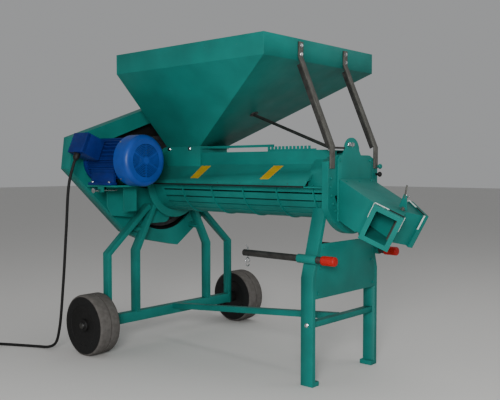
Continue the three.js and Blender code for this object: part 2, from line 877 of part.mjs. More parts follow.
const leftLegRight = leftPlateOuterX - seatGap;
const leftLegLeft = leftLegRight - leftLegWidth;
const axleX = (leftLegLeft + leftLegRight) / 2;
const beamTop = axleHeight + beamDepth / 2;
const beamHalfLength = outerLegY - leftLegThickness - seatGap;
const innerLegLine = [
  [-innerLegTopY, leftLegTopHeight],
  [-innerLegY, leftLegBendHeight],
  [-innerLegY, beamTop + seatGap],
];
const outerLegLine = [
  [-outerLegTopY, leftLegTopHeight],
  [-outerLegY, leftLegBendHeight],
  [-outerLegY, axleHeight - beamDepth / 2],
];

// The inner leg carries a spacer boss on which the belt guard's back plate is seated
function innerLeftLeg(side) {
  const leg = extrudeX(folded(sideLine(innerLegLine, side), leftLegThickness), leftLegLeft, leftLegRight);
  const [top, bend] = offsetLine(innerLegLine, leftLegThickness / 2);
  const bossY = top[0] + (bend[0] - top[0]) * spacerShare;
  const bossHeight = top[1] + (bend[1] - top[1]) * spacerShare;
  const boss = ringSolid(0, spacerRadius, guardRight + seatGap, leftLegLeft + leftLegWidth / 2, latheToX);
  return join(leg, boss.translate(0, -side * bossY, bossHeight));
}

function outerLeftLeg(side) {
  const leg = extrudeX(folded(sideLine(outerLegLine, side), leftLegThickness), leftLegLeft, leftLegRight);
  const clearOfInner = offsetLine(sideLine(innerLegLine, side), -seatGap);
  const inside = extrudeX(
    folded(clearOfInner, innerLegY / 2),
    leftLegLeft - cutOverrun,
    leftLegRight + cutOverrun,
  );
  const bore = rod(
    [axleX, side * (outerLegY - cutOverrun), axleHeight],
    [axleX, side * (outerLegY + cutOverrun), axleHeight],
    axleRadius + seatGap,
  );
  return cut(leg, inside, bore);
}

function axleBeam() {
  const beam = block(
    axleX - beamWidth / 2,
    axleX + beamWidth / 2,
    -beamHalfLength,
    beamHalfLength,
    axleHeight - beamDepth / 2,
    beamTop,
  );
  const reach = beamHalfLength + cutOverrun;
  return cut(beam, rod([axleX, -reach, axleHeight], [axleX, reach, axleHeight], axleRadius + seatGap));
}

function wheelAxle() {
  const reach = wheelOuterY + axleEndLength;
  return rod([axleX, -reach, axleHeight], [axleX, reach, axleHeight], axleRadius);
}

function wheelPiece(profile, side) {
  const points = profile.map(([radius, depth]) => [radius, side * (wheelOuterY - depth)]);
  const ordered = side < 0 ? points : points.reverse();
  return turned(ordered, latheToY, pulleySides).translate(axleX, 0, axleHeight);
}

function wheelTyre(side) {
  const bore = wheelDiscRadius + seatGap;
  const middle = wheelWidth / 2;
  const shoulder = wheelGrooveDepth;
  return wheelPiece([
    [bore, 0],
    [wheelRadius - shoulder, 0],
    [wheelRadius, shoulder],
    [wheelRadius, middle - wheelGrooveWidth / 2],
    [wheelRadius - wheelGrooveDepth, middle],
    [wheelRadius, middle + wheelGrooveWidth / 2],
    [wheelRadius, wheelWidth - shoulder],
    [wheelRadius - shoulder, wheelWidth],
    [bore, wheelWidth],
  ], side);
}

function wheelDisc(side) {
  const bore = axleRadius + runningGap;
  const hubEnd = wheelOuterY - outerLegY - runningGap;
  return wheelPiece([
    [bore, 0],
    [wheelHubRadius, 0],
    [wheelHubRadius, wheelDishDepth],
    [wheelDiscRadius - wheelDishDepth, wheelDishDepth],
    [wheelDiscRadius, wheelDishDepth / 2],
    [wheelDiscRadius, wheelWidth - wheelDishDepth / 2],
    [wheelDiscRadius - wheelDishDepth, wheelWidth - wheelDishDepth],
    [wheelHubRadius, wheelWidth - wheelDishDepth],
    [wheelHubRadius, hubEnd],
    [bore, hubEnd],
  ], side);
}

function tieBar() {
  const left = axleX + beamWidth / 2 + seatGap;
  const right = rightLegCentre - crossbarWidth / 2 - seatGap;
  const rightFoot = crossbarHeight - tieBarHeight / 2;
  const leftFoot = rightFoot - tieBarDrop;
  const outline = [
    [left, leftFoot],
    [right, rightFoot],
    [right, rightFoot + tieBarHeight],
    [left, leftFoot + tieBarHeight],
  ];
  return extrudeY(polygon(outline), -tieBarWidth / 2, tieBarWidth / 2);
}

// Pull-out handles

const pinX = handleLeftEnd + pinInset;

function handleTube(side) {
  const tube = ringSolid(handleRadius - handleWall, handleRadius, handleLeftEnd, handleRightEnd, latheToX);
  tube.translate(0, side * handleY, handleHeight);
  const reach = handleRadius + cutOverrun;
  const pinHole = rod(
    [pinX, side * handleY, handleHeight - reach],
    [pinX, side * handleY, handleHeight + reach],
    pinRadius + seatGap,
    roundSides / 2,
  );
  return cut(tube, pinHole);
}

function handleGrip(side) {
  const bore = handleRadius + seatGap;
  const left = handleRightEnd - gripOverlap;
  const right = left + gripLength;
  const rounding = gripRadius / 4;
  const profile = [
    [0, handleRightEnd + seatGap],
    [bore, handleRightEnd + seatGap],
    [bore, left],
    [gripRadius - rounding, left],
    [gripRadius, left + rounding],
    [gripRadius, right - rounding],
    [gripRadius - rounding, right],
    [0, right],
  ];
  const points = profile.map(([radius, along]) => new THREE.Vector2(radius, along));
  const geometry = new THREE.LatheGeometry(points, roundSides).applyMatrix4(latheToX);
  return geometry.translate(0, side * handleY, handleHeight);
}

function handleStopPin(side) {
  const top = handleHeight + pinReach;
  const foot = handleHeight - pinReach;
  const ringRadius = pinReach / 3;
  const ring = new THREE.TorusGeometry(ringRadius, pinRadius / 2, roundSides / 4, roundSides / 2);
  ring.rotateX(Math.PI / 2).translate(pinX, side * handleY, foot - ringRadius + pinRadius / 2);
  const pinY = side * handleY;
  return join(rod([pinX, pinY, foot], [pinX, pinY, top], pinRadius, roundSides / 2), ring);
}

// Belt drive: guard, pulleys and belts

const guardPlateLeft = guardRight - guardSheet;
const pulleyLeft = pulleyRight - pulleyWidth;
const pulleyMiddle = (pulleyLeft + pulleyRight) / 2;

function guardOutline() {
  const place = ([reachShare, dropShare]) => [
    guardReach * reachShare,
    drumAxisHeight + guardDrop * dropShare,
  ];
  const arcHeight = drumAxisHeight + guardArcRise;
  return [
    ...guardFootShares.map(place),
    ...arcPoints(0, arcHeight, guardArcRadius, guardArcStart, guardArcEnd, roundSides / 2),
  ];
}

function beltGuard() {
  const outline = guardOutline();
  const shell = extrudeX(polygon(outline), guardLeft, guardPlateLeft - seatGap);
  const inside = extrudeX(
    polygon(offsetLine(outline, guardSheet, true)),
    guardLeft + guardSheet,
    guardRight + cutOverrun,
  );
  return cut(shell, inside);
}

function guardBackPlate() {
  const plate = extrudeX(polygon(guardOutline()), guardPlateLeft, guardRight);
  const cutFrom = guardPlateLeft - cutOverrun;
  const cutTo = guardRight + cutOverrun;
  const drumCut = aboutDrumAxis(ringSolid(0, guardCutRadius, cutFrom, cutTo, latheToX, pulleySides));
  const motorCut = aboutMotorAxis(ringSolid(0, motorCutRadius, cutFrom, cutTo, latheToX));
  return cut(plate, drumCut, motorCut);
}

function aboutMotorAxis(geometry) {
  return geometry.translate(0, motorAxisY, motorAxisHeight);
}

function grooveCentre(groove) {
  return pulleyMiddle + (groove - (grooveCount - 1) / 2) * groovePitch;
}

function pulley(radius, hubRadius, bore, sides) {
  const rimInner = radius - pulleyRimDepth;
  const webLeft = pulleyMiddle - pulleyWebThickness / 2;
  const webRight = pulleyMiddle + pulleyWebThickness / 2;
  const profile = [
    [bore, pulleyLeft],
    [hubRadius, pulleyLeft],
    [hubRadius, webLeft],
    [rimInner, webLeft],
    [rimInner, pulleyLeft],
    [radius, pulleyLeft],
  ];
  for (let groove = 0; groove < grooveCount; groove += 1) {
    const centre = grooveCentre(groove);
    profile.push([radius, centre - grooveMouth / 2]);
    profile.push([radius - grooveDepth, centre - grooveFoot / 2]);
    profile.push([radius - grooveDepth, centre + grooveFoot / 2]);
    profile.push([radius, centre + grooveMouth / 2]);
  }
  profile.push([radius, pulleyRight], [rimInner, pulleyRight], [rimInner, webRight]);
  profile.push([hubRadius, webRight], [hubRadius, pulleyRight], [bore, pulleyRight]);
  return turned(profile, latheToX, sides);
}

function drumPulley() {
  return aboutDrumAxis(pulley(drumPulleyRadius, pulleyHubRadius, shaftRadius + seatGap, pulleySides));
}

function motorPulley() {
  const bore = motorShaftRadius + seatGap;
  return aboutMotorAxis(pulley(motorPulleyRadius, motorPulleyHubRadius, bore, roundSides));
}

// One belt round both pulleys: arcs joined by the outer tangents of the two circles
function beltOutline(lift) {
  const bottom = lift + runningGap - grooveDepth;
  const drumCircle = (drumPulleyRadius + bottom) / Math.cos(Math.PI / pulleySides);
  const motorCircle = (motorPulleyRadius + bottom) / Math.cos(Math.PI / roundSides);
  const rise = motorAxisHeight - drumAxisHeight;
  const distance = Math.hypot(motorAxisY, rise);
  const toMotor = THREE.MathUtils.radToDeg(Math.atan2(rise, motorAxisY));
  const spread = THREE.MathUtils.radToDeg(Math.acos((drumCircle - motorCircle) / distance));
  return [
    ...arcPoints(0, drumAxisHeight, drumCircle, toMotor + spread, toMotor + 360 - spread, pulleySides),
    ...arcPoints(
      motorAxisY,
      motorAxisHeight,
      motorCircle,
      toMotor - spread,
      toMotor + spread,
      roundSides / 2,
    ),
  ];
}

function vBelt(groove) {
  const centre = grooveCentre(groove);
  const section = hole(polygon(beltOutline(beltDepth)), beltOutline(0));
  return extrudeX(section, centre - beltWidth / 2, centre + beltWidth / 2);
}

// Motor

const rearShieldRadius = fanCoverRadius - fanCoverSheet - seatGap;
const rearShieldThickness = motorShieldThickness / 2;
const rearShieldLeft = motorBodyRight - rearShieldThickness;

function motorBody() {
  const outline = [];
  const pitch = 360 / motorFinCount;
  for (let fin = 0; fin < motorFinCount; fin += 1) {
    const start = fin * pitch;
    for (const [share, radius] of [
      [0, motorCoreRadius],
      [finFootShare, motorCoreRadius],
      [finFlankShare, motorCoreRadius + motorFinHeight],
      [1 - finFlankShare + finFootShare, motorCoreRadius + motorFinHeight],
    ]) {
      const angle = degrees(start + pitch * share);
      outline.push([radius * Math.cos(angle), radius * Math.sin(angle)]);
    }
  }
  const bodyLeft = motorLeft + motorShieldThickness / 2;
  const padTop = terminalInnerRadius - seatGap;
  const pad = block(
    terminalX - terminalPadHalf,
    terminalX + terminalPadHalf,
    -terminalPadHalf,
    terminalPadHalf,
    motorCoreRadius / 2,
    padTop,
  ).rotateX(terminalTurn);
  const pieces = [
    extrudeX(polygon(outline), bodyLeft, motorBodyRight - rearShieldThickness / 2),
    ringSolid(0, motorShieldRadius, motorLeft, motorLeft + motorShieldThickness, latheToX, pulleySides),
    ringSolid(0, rearShieldRadius, rearShieldLeft, motorBodyRight, latheToX, pulleySides),
    pad,
  ];
  const footLeft = motorLeft + 2 * motorShieldThickness;
  const footRight = motorBodyRight - 2 * motorShieldThickness;
  const soleHeight = -motorFootDrop;
  for (const side of [-1, 1]) {
    const centre = side * motorFootHalfSpan;
    const half = motorFootWidth / 2;
    const web = motorFootThickness / 2;
    pieces.push(
      block(footLeft, footRight, centre - half, centre + half, soleHeight, soleHeight + motorFootThickness),
      block(footLeft, footRight, centre - web - side * web, centre + web - side * web, soleHeight, 0),
    );
  }
  const bore = ringSolid(
    0,
    motorShaftRadius + runningGap,
    motorLeft - cutOverrun,
    motorBodyRight + cutOverrun,
    latheToX,
  );
  return aboutMotorAxis(cut(join(...pieces), bore));
}

function motorFanCover() {
  const inner = fanCoverRadius - fanCoverSheet;
  const edge = fanCoverRight - fanCoverEdgeRadius;
  const innerRounding = fanCoverEdgeRadius - fanCoverSheet;
  const bendSteps = roundSides / 6;
  const innerArc = arcPoints(fanCoverRadius - fanCoverEdgeRadius, edge, innerRounding, 90, 0, bendSteps);
  const outerArc = arcPoints(fanCoverRadius - fanCoverEdgeRadius, edge, fanCoverEdgeRadius, 0, 90, bendSteps);
  const profile = [
    [0, fanCoverRight - fanCoverSheet],
    ...innerArc,
    [inner, rearShieldLeft],
    [fanCoverRadius, rearShieldLeft],
    ...outerArc,
    [0, fanCoverRight],
  ].map(([radius, along]) => new THREE.Vector2(radius, along));
  const cup = new THREE.LatheGeometry(profile, pulleySides).applyMatrix4(latheToX);
  const slotInner = fanCoverRadius * slotInnerShare;
  const slotOuter = fanCoverRadius * slotOuterShare;
  const slots = [];
  for (let slot = 0; slot < fanSlotCount; slot += 1) {
    const cutter = block(
      fanCoverRight - fanCoverEdgeRadius / 2,
      fanCoverRight + cutOverrun,
      -fanSlotWidth / 2,
      fanSlotWidth / 2,
      slotInner,
      slotOuter,
    );
    slots.push(cutter.rotateX(degrees((360 * slot) / fanSlotCount)));
  }
  return aboutMotorAxis(cut(cup, ...slots));
}

const fanLeft = motorBodyRight + motorShieldThickness / 2;

function motorFan() {
  const hubRadius = 2 * motorShaftRadius;
  const fanRight = fanLeft + fanBladeWidth;
  const pieces = [ringSolid(motorShaftRadius + seatGap, hubRadius, fanLeft, fanRight, latheToX)];
  for (let blade = 0; blade < fanBladeCount; blade += 1) {
    const plate = block(
      fanLeft,
      fanRight,
      -fanBladeThickness / 2,
      fanBladeThickness / 2,
      hubRadius - fanBladeThickness,
      fanRadius,
    );
    pieces.push(plate.rotateX(degrees((360 * blade) / fanBladeCount)));
  }
  return aboutMotorAxis(join(...pieces));
}

function motorShaft() {
  return aboutMotorAxis(ringSolid(0, motorShaftRadius, shaftLeftEnd, fanLeft + fanBladeWidth, latheToX));
}

function terminalBox() {
  const half = terminalLength / 2;
  const box = block(
    terminalX - half,
    terminalX + half,
    -terminalHeight / 2,
    terminalHeight / 2,
    terminalInnerRadius,
    terminalInnerRadius + terminalDepth,
  );
  return aboutMotorAxis(box.rotateX(terminalTurn));
}

const glandRadial = terminalInnerRadius + terminalDepth / 2 + glandShift;
const glandTop = -terminalHeight / 2 - seatGap;

function cableGland() {
  const tip = glandTop - glandLength;
  const profile = [
    [0, tip],
    [cordRadius + seatGap, tip],
    [glandRadius, tip + glandLength / 3],
    [glandRadius, glandTop],
    [0, glandTop],
  ].map(([radius, along]) => new THREE.Vector2(radius, along));
  const gland = new THREE.LatheGeometry(profile, roundSides / 2).translate(terminalX, 0, glandRadial);
  return aboutMotorAxis(gland.rotateX(terminalTurn));
}

// Motor bracket with its shelf and tension lug

const shelfTop = motorAxisHeight - motorFootDrop - seatGap;
const shelfFoot = shelfTop - shelfThickness;
const bracketRight = leftLegLeft - seatGap;
const bracketLeft = bracketRight - bracketPlateThickness;
const lugDepth = 5 * tensionRodRadius;
const tensionHeight = shelfFoot - lugDepth / 2;
const tensionX = (bracketLeft + shelfRight) / 2;
const shelfNear = motorAxisY - shelfHalfSpan;
const shelfFar = motorAxisY + shelfHalfSpan;

function motorBracket() {
  const shelfRise = shelfTop - bracketFootHeight;
  const spanY = bracketInnerY - shelfNear;
  const outline = [
    ...bracketShares.map(([spanShare, riseShare]) => [
      shelfNear + spanY * spanShare,
      bracketFootHeight + shelfRise * riseShare,
    ]),
    ...arcPoints(
      bracketInnerY - bracketCorner,
      bracketFootHeight + bracketCorner,
      bracketCorner,
      -90,
      0,
      roundSides / 4,
    ),
    [bracketInnerY, drumAxisHeight - bearingFlangeRadius],
    [shelfFar, shelfTop],
  ];
  const plate = extrudeX(polygon(outline), bracketLeft, bracketRight);
  const shelf = block(bracketLeft, shelfRight, shelfNear, shelfFar, shelfFoot, shelfTop);
  const lugHalf = tensionRodRadius;
  const lug = block(
    tensionX - 3 * lugHalf,
    tensionX + 3 * lugHalf,
    shelfNear,
    shelfNear + 2 * lugHalf,
    shelfFoot - lugDepth,
    shelfTop - shelfThickness / 2,
  );
  const bore = rod(
    [tensionX, shelfNear - cutOverrun, tensionHeight],
    [tensionX, shelfNear + cutOverrun, tensionHeight],
    tensionRodRadius + seatGap,
    roundSides / 2,
  );
  return cut(join(plate, shelf, lug), bore);
}

function tensionBolt() {
  const from = shelfNear - tensionRodLength / 4;
  const shank = [[tensionX, from, tensionHeight], [tensionX, from + tensionRodLength, tensionHeight]];
  const head = [
    [tensionX, from - tensionRodRadius, tensionHeight],
    [tensionX, from + seatGap, tensionHeight],
  ];
  return join(
    rod(...shank, tensionRodRadius, roundSides / 2),
    rod(...head, 2 * tensionRodRadius, boltHeadSides),
  );
}

// Chute, spouts and diverter, laid out in the chute's own plane: along the flow, across it, and out of it

const chuteX = archPlateRight + seatGap;
const chuteTopHeight = drumAxisHeight + chuteTopRise;
const forkCos = Math.cos(degrees(forkAngle));
const forkSin = Math.sin(degrees(forkAngle));
const lipEnd = [forkLipStart + forkLipLength * forkCos, -chuteHalfWidth - forkLipLength * forkSin];
const noseEnd = [lipEnd[0] + spoutWidth * forkSin, lipEnd[1] + spoutWidth * forkCos];
const noseLength = -noseEnd[1] / forkSin;
const forkNotch = [noseEnd[0] - noseLength * forkCos, 0];
const flapPivot = forkNotch[0] - flapPivotInset;

function toChute(geometry) {
  return geometry.rotateY(degrees(chuteSlope)).translate(chuteX, 0, chuteTopHeight);
}

function acrossMirror(points) {
  return points.map(([along, across]) => [along, -across]).reverse();
}

function chuteBody() {
  const start = -trunkDepth;
  const nearWall = [[start, -chuteHalfWidth], [forkLipStart, -chuteHalfWidth], lipEnd];
  const outline = [...nearWall, noseEnd, forkNotch];
  const outerShape = polygon([...outline, ...acrossMirror([...nearWall, noseEnd])]);
  const beyond = ([along, across]) => [along + cutOverrun * forkCos, across - cutOverrun * forkSin];
  const nearInner = offsetLine([nearWall[0], nearWall[1], beyond(lipEnd)], sheetThickness);
  const nose = beyond(noseEnd);
  const noseInner = offsetLine([nose, forkNotch, [nose[0], -nose[1]]], sheetThickness);
  const innerWall = [...nearInner, noseInner[0]];
  const innerShape = polygon([...innerWall, noseInner[1], ...acrossMirror(innerWall)]);
  const trunkHalf = chuteHalfWidth - sheetThickness;
  const outer = join(
    extrudeZ(outerShape, -forkDepth, 0),
    block(start, trunkLength, -chuteHalfWidth, chuteHalfWidth, -trunkDepth, 0),
  );
  const trunkInside = block(
    start - cutOverrun,
    trunkLength - sheetThickness,
    -trunkHalf,
    trunkHalf,
    sheetThickness - trunkDepth,
    -sheetThickness,
  );
  const pinHole = rod([flapPivot, 0, -cutOverrun], [flapPivot, 0, cutOverrun], flapPinRadius + seatGap);
  const forkInside = extrudeZ(innerShape, sheetThickness - forkDepth, -sheetThickness);
  const open = cut(outer, forkInside, trunkInside, pinHole);
  const reach = 2 * trunkDepth;
  const behind = block(
    chuteX - 2 * reach,
    chuteX,
    -reach,
    reach,
    chuteTopHeight - reach,
    chuteTopHeight + reach,
  );
  return cut(toChute(open), behind);
}

function spoutCollar(side) {
  const halfWidth = spoutWidth / 2;
  const outer = block(
    seatGap,
    collarFrameLength,
    -halfWidth - collarFrameWall,
    halfWidth + collarFrameWall,
    -forkDepth - collarFrameWall,
    collarFrameWall,
  );
  const inner = block(
    -cutOverrun,
    collarFrameLength + cutOverrun,
    sheetThickness - halfWidth,
    halfWidth - sheetThickness,
    sheetThickness - forkDepth,
    -sheetThickness,
  );
  const centre = [(lipEnd[0] + noseEnd[0]) / 2, (lipEnd[1] + noseEnd[1]) / 2];
  const turned = cut(outer, inner).rotateZ(side * degrees(forkAngle));
  const frame = turned.translate(centre[0], -side * centre[1], 0);
  return toChute(frame);
}

function diverterFlap() {
  const floor = sheetThickness - forkDepth + seatGap;
  const leverFoot = seatGap + collarFrameWall;
  const leverTop = leverFoot + leverThickness;
  const plate = block(
    flapPivot - flapLength,
    flapPivot,
    -flapThickness / 2,
    flapThickness / 2,
    floor + flapClearance,
    -sheetThickness - flapClearance,
  );
  const pin = rod([flapPivot, 0, floor], [flapPivot, 0, leverTop + leverThickness], flapPinRadius);
  const leverEnd = flapPivot + leverLength;
  const lever = block(flapPivot, leverEnd, -leverThickness, leverThickness, leverFoot, leverTop);
  const knobX = leverEnd - leverThickness;
  const knob = rod([knobX, 0, leverFoot], [knobX, 0, leverHeight], leverThickness, roundSides / 2);
  return toChute(join(plate, pin, lever, knob));
}

// Power cord: a free run from the gland to the floor, a coil in two layers, and the plug

const cordStart = new THREE.Vector3(terminalX, glandTop - glandLength - seatGap, glandRadial)
  .applyAxisAngle(axisX, terminalTurn)
  .add(new THREE.Vector3(0, motorAxisY, motorAxisHeight));
const cordDown = new THREE.Vector3(0, -1, 0).applyAxisAngle(axisX, terminalTurn);
const cordRoute = [
  [-1200, -757, 955],
  [-1240, -752, 700],
  [-1300, -735, 400],
  [-1362, -722, 140],
  [-1424, -708, 48],
  [-1494, -708, 16],
  [-1572, -728, 8.8],
  [-1660, -772, 8.4],
  [-1777, -835, 8.4],
];
const cordRest = 8.4;
const coilEntry = new THREE.Vector3(-1850, -878, cordRest);
const coilHeading = new THREE.Vector3(-0.8704, -0.4924, 0).normalize();

function roundSection() {
  return polygon(circlePoints(0, 0, cordRadius, cordSides));
}

function tubeAlong(curve, steps) {
  return new THREE.ExtrudeGeometry(roundSection(), { steps, bevelEnabled: false, extrudePath: curve });
}

function powerCord() {
  const lead = 2 * cordRadius;
  const points = [
    cordStart,
    cordStart.clone().addScaledVector(cordDown, lead),
    ...cordRoute.map((point) => new THREE.Vector3(...point)),
    coilEntry.clone().addScaledVector(coilHeading, -lead),
    coilEntry,
  ];
  return tubeAlong(new THREE.CatmullRomCurve3(points, false, 'centripetal'), cordSteps);
}

// The coil spirals in on the floor, climbs half a turn, and spirals out again on top of itself
class CoilCurve extends THREE.Curve {
  constructor() {
    super();
    this.start = coilEntry.clone().addScaledVector(coilHeading, seatGap);
    this.spiralStart = this.start.clone().addScaledVector(coilHeading, 2 * cordRadius);
    this.outerRadius = this.radiusAt(-coilTurns / 2);
    this.startAngle = Math.atan2(coilHeading.y, coilHeading.x) - Math.PI / 2;
    this.centre = this.spiralStart.clone();
    this.centre.x -= this.outerRadius * Math.cos(this.startAngle);
    this.centre.y -= this.outerRadius * Math.sin(this.startAngle);
  }

  radiusAt(turn) {
    return coilMeanRadius + coilPitch * (Math.abs(turn) - coilTurns / 4);
  }

  spiral(turn) {
    const angle = this.startAngle + (turn + coilTurns / 2) * 2 * Math.PI;
    const climb = THREE.MathUtils.smoothstep(turn, -1 / 4, 1 / 4) * coilLayerRise;
    const radius = this.radiusAt(turn);
    return new THREE.Vector3(
      this.centre.x + radius * Math.cos(angle),
      this.centre.y + radius * Math.sin(angle),
      cordRest + climb,
    );
  }

  getPoint(share, target = new THREE.Vector3()) {
    const straightShare = 1 / (coilTurns * coilStepsPerTurn + 2);
    if (share < straightShare) {
      return target.copy(this.start).lerp(this.spiralStart, share / straightShare);
    }
    if (share > 1 - straightShare) {
      const last = this.spiral(coilTurns / 2);
      const before = this.spiral(coilTurns / 2 - 1 / coilStepsPerTurn / cordSides);
      const heading = last.clone().sub(before).setZ(0).normalize();
      const run = (coilTail * (share - 1 + straightShare)) / straightShare;
      return target.copy(last).addScaledVector(heading, run);
    }
    const turns = ((share - straightShare) / (1 - 2 * straightShare) - 1 / 2) * coilTurns;
    return target.copy(this.spiral(turns));
  }

  getPointAt(share, target) {
    return this.getPoint(share, target);
  }
}

const coilCurve = new CoilCurve();

// One unbroken tube: six-sided rings set square to the path, with both ends closed
function cordCoil() {
  const rings = coilTurns * coilStepsPerTurn + 2;
  const positions = [];
  const indices = [];
  for (let ring = 0; ring <= rings; ring += 1) {
    const share = ring / rings;
    const point = coilCurve.getPoint(share);
    const ahead = coilCurve.getPoint(Math.min(share + 1 / rings / cordSides, 1));
    const behind = coilCurve.getPoint(Math.max(share - 1 / rings / cordSides, 0));
    const tangent = ahead.sub(behind).normalize();
    const across = axisZ.clone().cross(tangent).normalize();
    const upward = tangent.clone().cross(across);
    for (let side = 0; side < coilSides; side += 1) {
      const angle = (2 * Math.PI * side) / coilSides;
      const corner = point.clone();
      corner.addScaledVector(across, cordRadius * Math.cos(angle));
      corner.addScaledVector(upward, cordRadius * Math.sin(angle));
      positions.push(corner.x, corner.y, corner.z);
    }
  }
  for (let ring = 0; ring < rings; ring += 1) {
    for (let side = 0; side < coilSides; side += 1) {
      const here = ring * coilSides + side;
      const next = ring * coilSides + ((side + 1) % coilSides);
      indices.push(here, next, next + coilSides, here, next + coilSides, here + coilSides);
    }
  }
  const lastRing = rings * coilSides;
  for (let side = 1; side < coilSides - 1; side += 1) {
    indices.push(0, side + 1, side, lastRing, lastRing + side, lastRing + side + 1);
  }
  const geometry = new THREE.BufferGeometry();
  geometry.setAttribute('position', new THREE.Float32BufferAttribute(positions, 3));
  geometry.setIndex(indices);
  return geometry;
}

function coilLeastGap() {
  const samples = coilTurns * coilStepsPerTurn * 2;
  const points = [];
  for (let sample = 0; sample <= samples; sample += 1) {
    points.push(coilCurve.getPoint(sample / samples));
  }
  const apart = coilStepsPerTurn;
  let least = Infinity;
  points.forEach((point, index) => {
    for (let other = index + apart; other < points.length; other += 1) {
      least = Math.min(least, point.distanceTo(points[other]));
    }
  });
  return least - 2 * cordRadius;
}

function powerPlug() {
  const from = coilCurve.getPoint(1);
  const tailShare = 1 / (coilTurns * coilStepsPerTurn + 2);
  const heading = from.clone().sub(coilCurve.getPoint(1 - tailShare / 2)).normalize();
  const profile = [
    [0, seatGap],
    [cordRadius + sheetThickness, seatGap],
    [plugRadius, plugLength / 3],
    [plugRadius, plugLength],
    [0, plugLength],
  ].map(([radius, along]) => new THREE.Vector2(radius, along));
  const body = new THREE.LatheGeometry(profile, roundSides / 2);
  const pins = [-1, 1].map((side) => {
    const across = (side * plugRadius) / 3;
    const from = [across, plugLength - plugRadius / 4, 0];
    const to = [across, plugLength + plugRadius, 0];
    return rod(from, to, plugPinRadius, cordSides);
  });
  const plug = join(body, ...pins);
  plug.applyQuaternion(new THREE.Quaternion().setFromUnitVectors(axisY, heading));
  return plug.translate(from.x, from.y, from.z);
}

// Assembly

add('hopper', hopper(), 'greenPaint');
add('hopper_neck', hopperNeck(), 'greenPaint');
add('feed_gate', feedGate(), 'bareSteel');
add('gate_rack', gateRack(), 'greenPaint');
add('drum_cover', drumCover(), 'greenPaint');
add('drum_cage', drumCage(), 'greenPaint');
add('left_end_plate', leftEndPlate(), 'greenPaint');
add('end_collar', endCollar(), 'greenPaint');
add('arched_end_plate', archedEndPlate(), 'greenPaint');
add('left_bearing', shaftBearing(leftPlateOuterX - seatGap, -1), 'castIron');
add('right_bearing', shaftBearing(collarLeft - seatGap, -1), 'castIron');
add('rotor_shaft', rotorShaft(), 'brightSteel');
add('beater_rotor', beaterRotor(), 'darkSteel');
add('drum_pulley', drumPulley(), 'castIron');
add('motor_pulley', motorPulley(), 'castIron');
for (let groove = 0; groove < grooveCount; groove += 1) {
  add(`v_belt_${groove + 1}`, vBelt(groove), 'blackRubber');
}
add('belt_guard', beltGuard(), 'greenPaint');
add('guard_back_plate', guardBackPlate(), 'greenPaint');
add('motor_body', motorBody(), 'motorBlue');
add('motor_fan_cover', motorFanCover(), 'fanBlue');
add('motor_fan', motorFan(), 'darkSteel');
add('motor_shaft', motorShaft(), 'brightSteel');
add('terminal_box', terminalBox(), 'motorBlue');
add('cable_gland', cableGland(), 'blackRubber');
add('motor_bracket', motorBracket(), 'greenPaint');
add('tension_bolt', tensionBolt(), 'brightSteel');
add('axle_beam', axleBeam(), 'greenPaint');
add('wheel_axle', wheelAxle(), 'darkSteel');
add('tie_bar', tieBar(), 'greenPaint');
add('right_crossbar', rightCrossbar(), 'greenPaint');
add('leg_panel', legPanel(), 'greenPaint');
add('chute_body', chuteBody(), 'greenPaint');
add('diverter_flap', diverterFlap(), 'bareSteel');
add('hopper_brace', hopperBrace(), 'darkSteel');
for (const [end, side] of [['near', -1], ['far', 1]]) {
  add(`left_leg_inner_${end}`, innerLeftLeg(side), 'greenPaint');
  add(`left_leg_outer_${end}`, outerLeftLeg(side), 'greenPaint');
  add(`right_leg_${end}`, rightLeg(side), 'greenPaint');
  add(`wheel_tyre_${end}`, wheelTyre(side), 'rubberGrey');
  add(`wheel_disc_${end}`, wheelDisc(side), 'blackRubber');
  add(`hopper_stay_${end}`, hopperStay(side), 'bareSteel');
  add(`handle_tube_${end}`, handleTube(side), 'darkSteel');
  add(`handle_grip_${end}`, handleGrip(side), 'redGrip');
  add(`handle_pin_${end}`, handleStopPin(side), 'brightSteel');
  add(`spout_collar_${end}`, spoutCollar(side), 'greenPaint');
}
const cordNodes = [
  add('power_cord', powerCord(), 'blackRubber'),
  add('cord_coil', cordCoil(), 'blackRubber'),
  add('power_plug', powerPlug(), 'blackRubber'),
];
console.log(`least gap of the coil to itself: ${coilLeastGap().toFixed(2)} mm`);

// The origin goes under the middle of the machine, on the floor
const extent = new THREE.Box3();
model.children.filter((mesh) => !cordNodes.includes(mesh)).forEach((mesh) => {
  mesh.geometry.computeBoundingBox();
  extent.union(mesh.geometry.boundingBox);
});
const middle = extent.getCenter(new THREE.Vector3());
model.children.forEach((mesh) => mesh.position.set(-middle.x, -middle.y, 0));

export default model;
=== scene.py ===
"""Almond huller: a painted, wheeled farm machine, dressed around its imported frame.

Places are in millimetres in the machine's working frame, whose X zero is the plane of the right-hand legs
and whose Y zero is the drum's axis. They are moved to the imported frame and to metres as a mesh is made.
"""

import json
import logging
import math
from dataclasses import dataclass, field
from enum import Enum
from typing import Iterable, Optional, Sequence

import bmesh
import bpy
from mathutils import Matrix, Vector


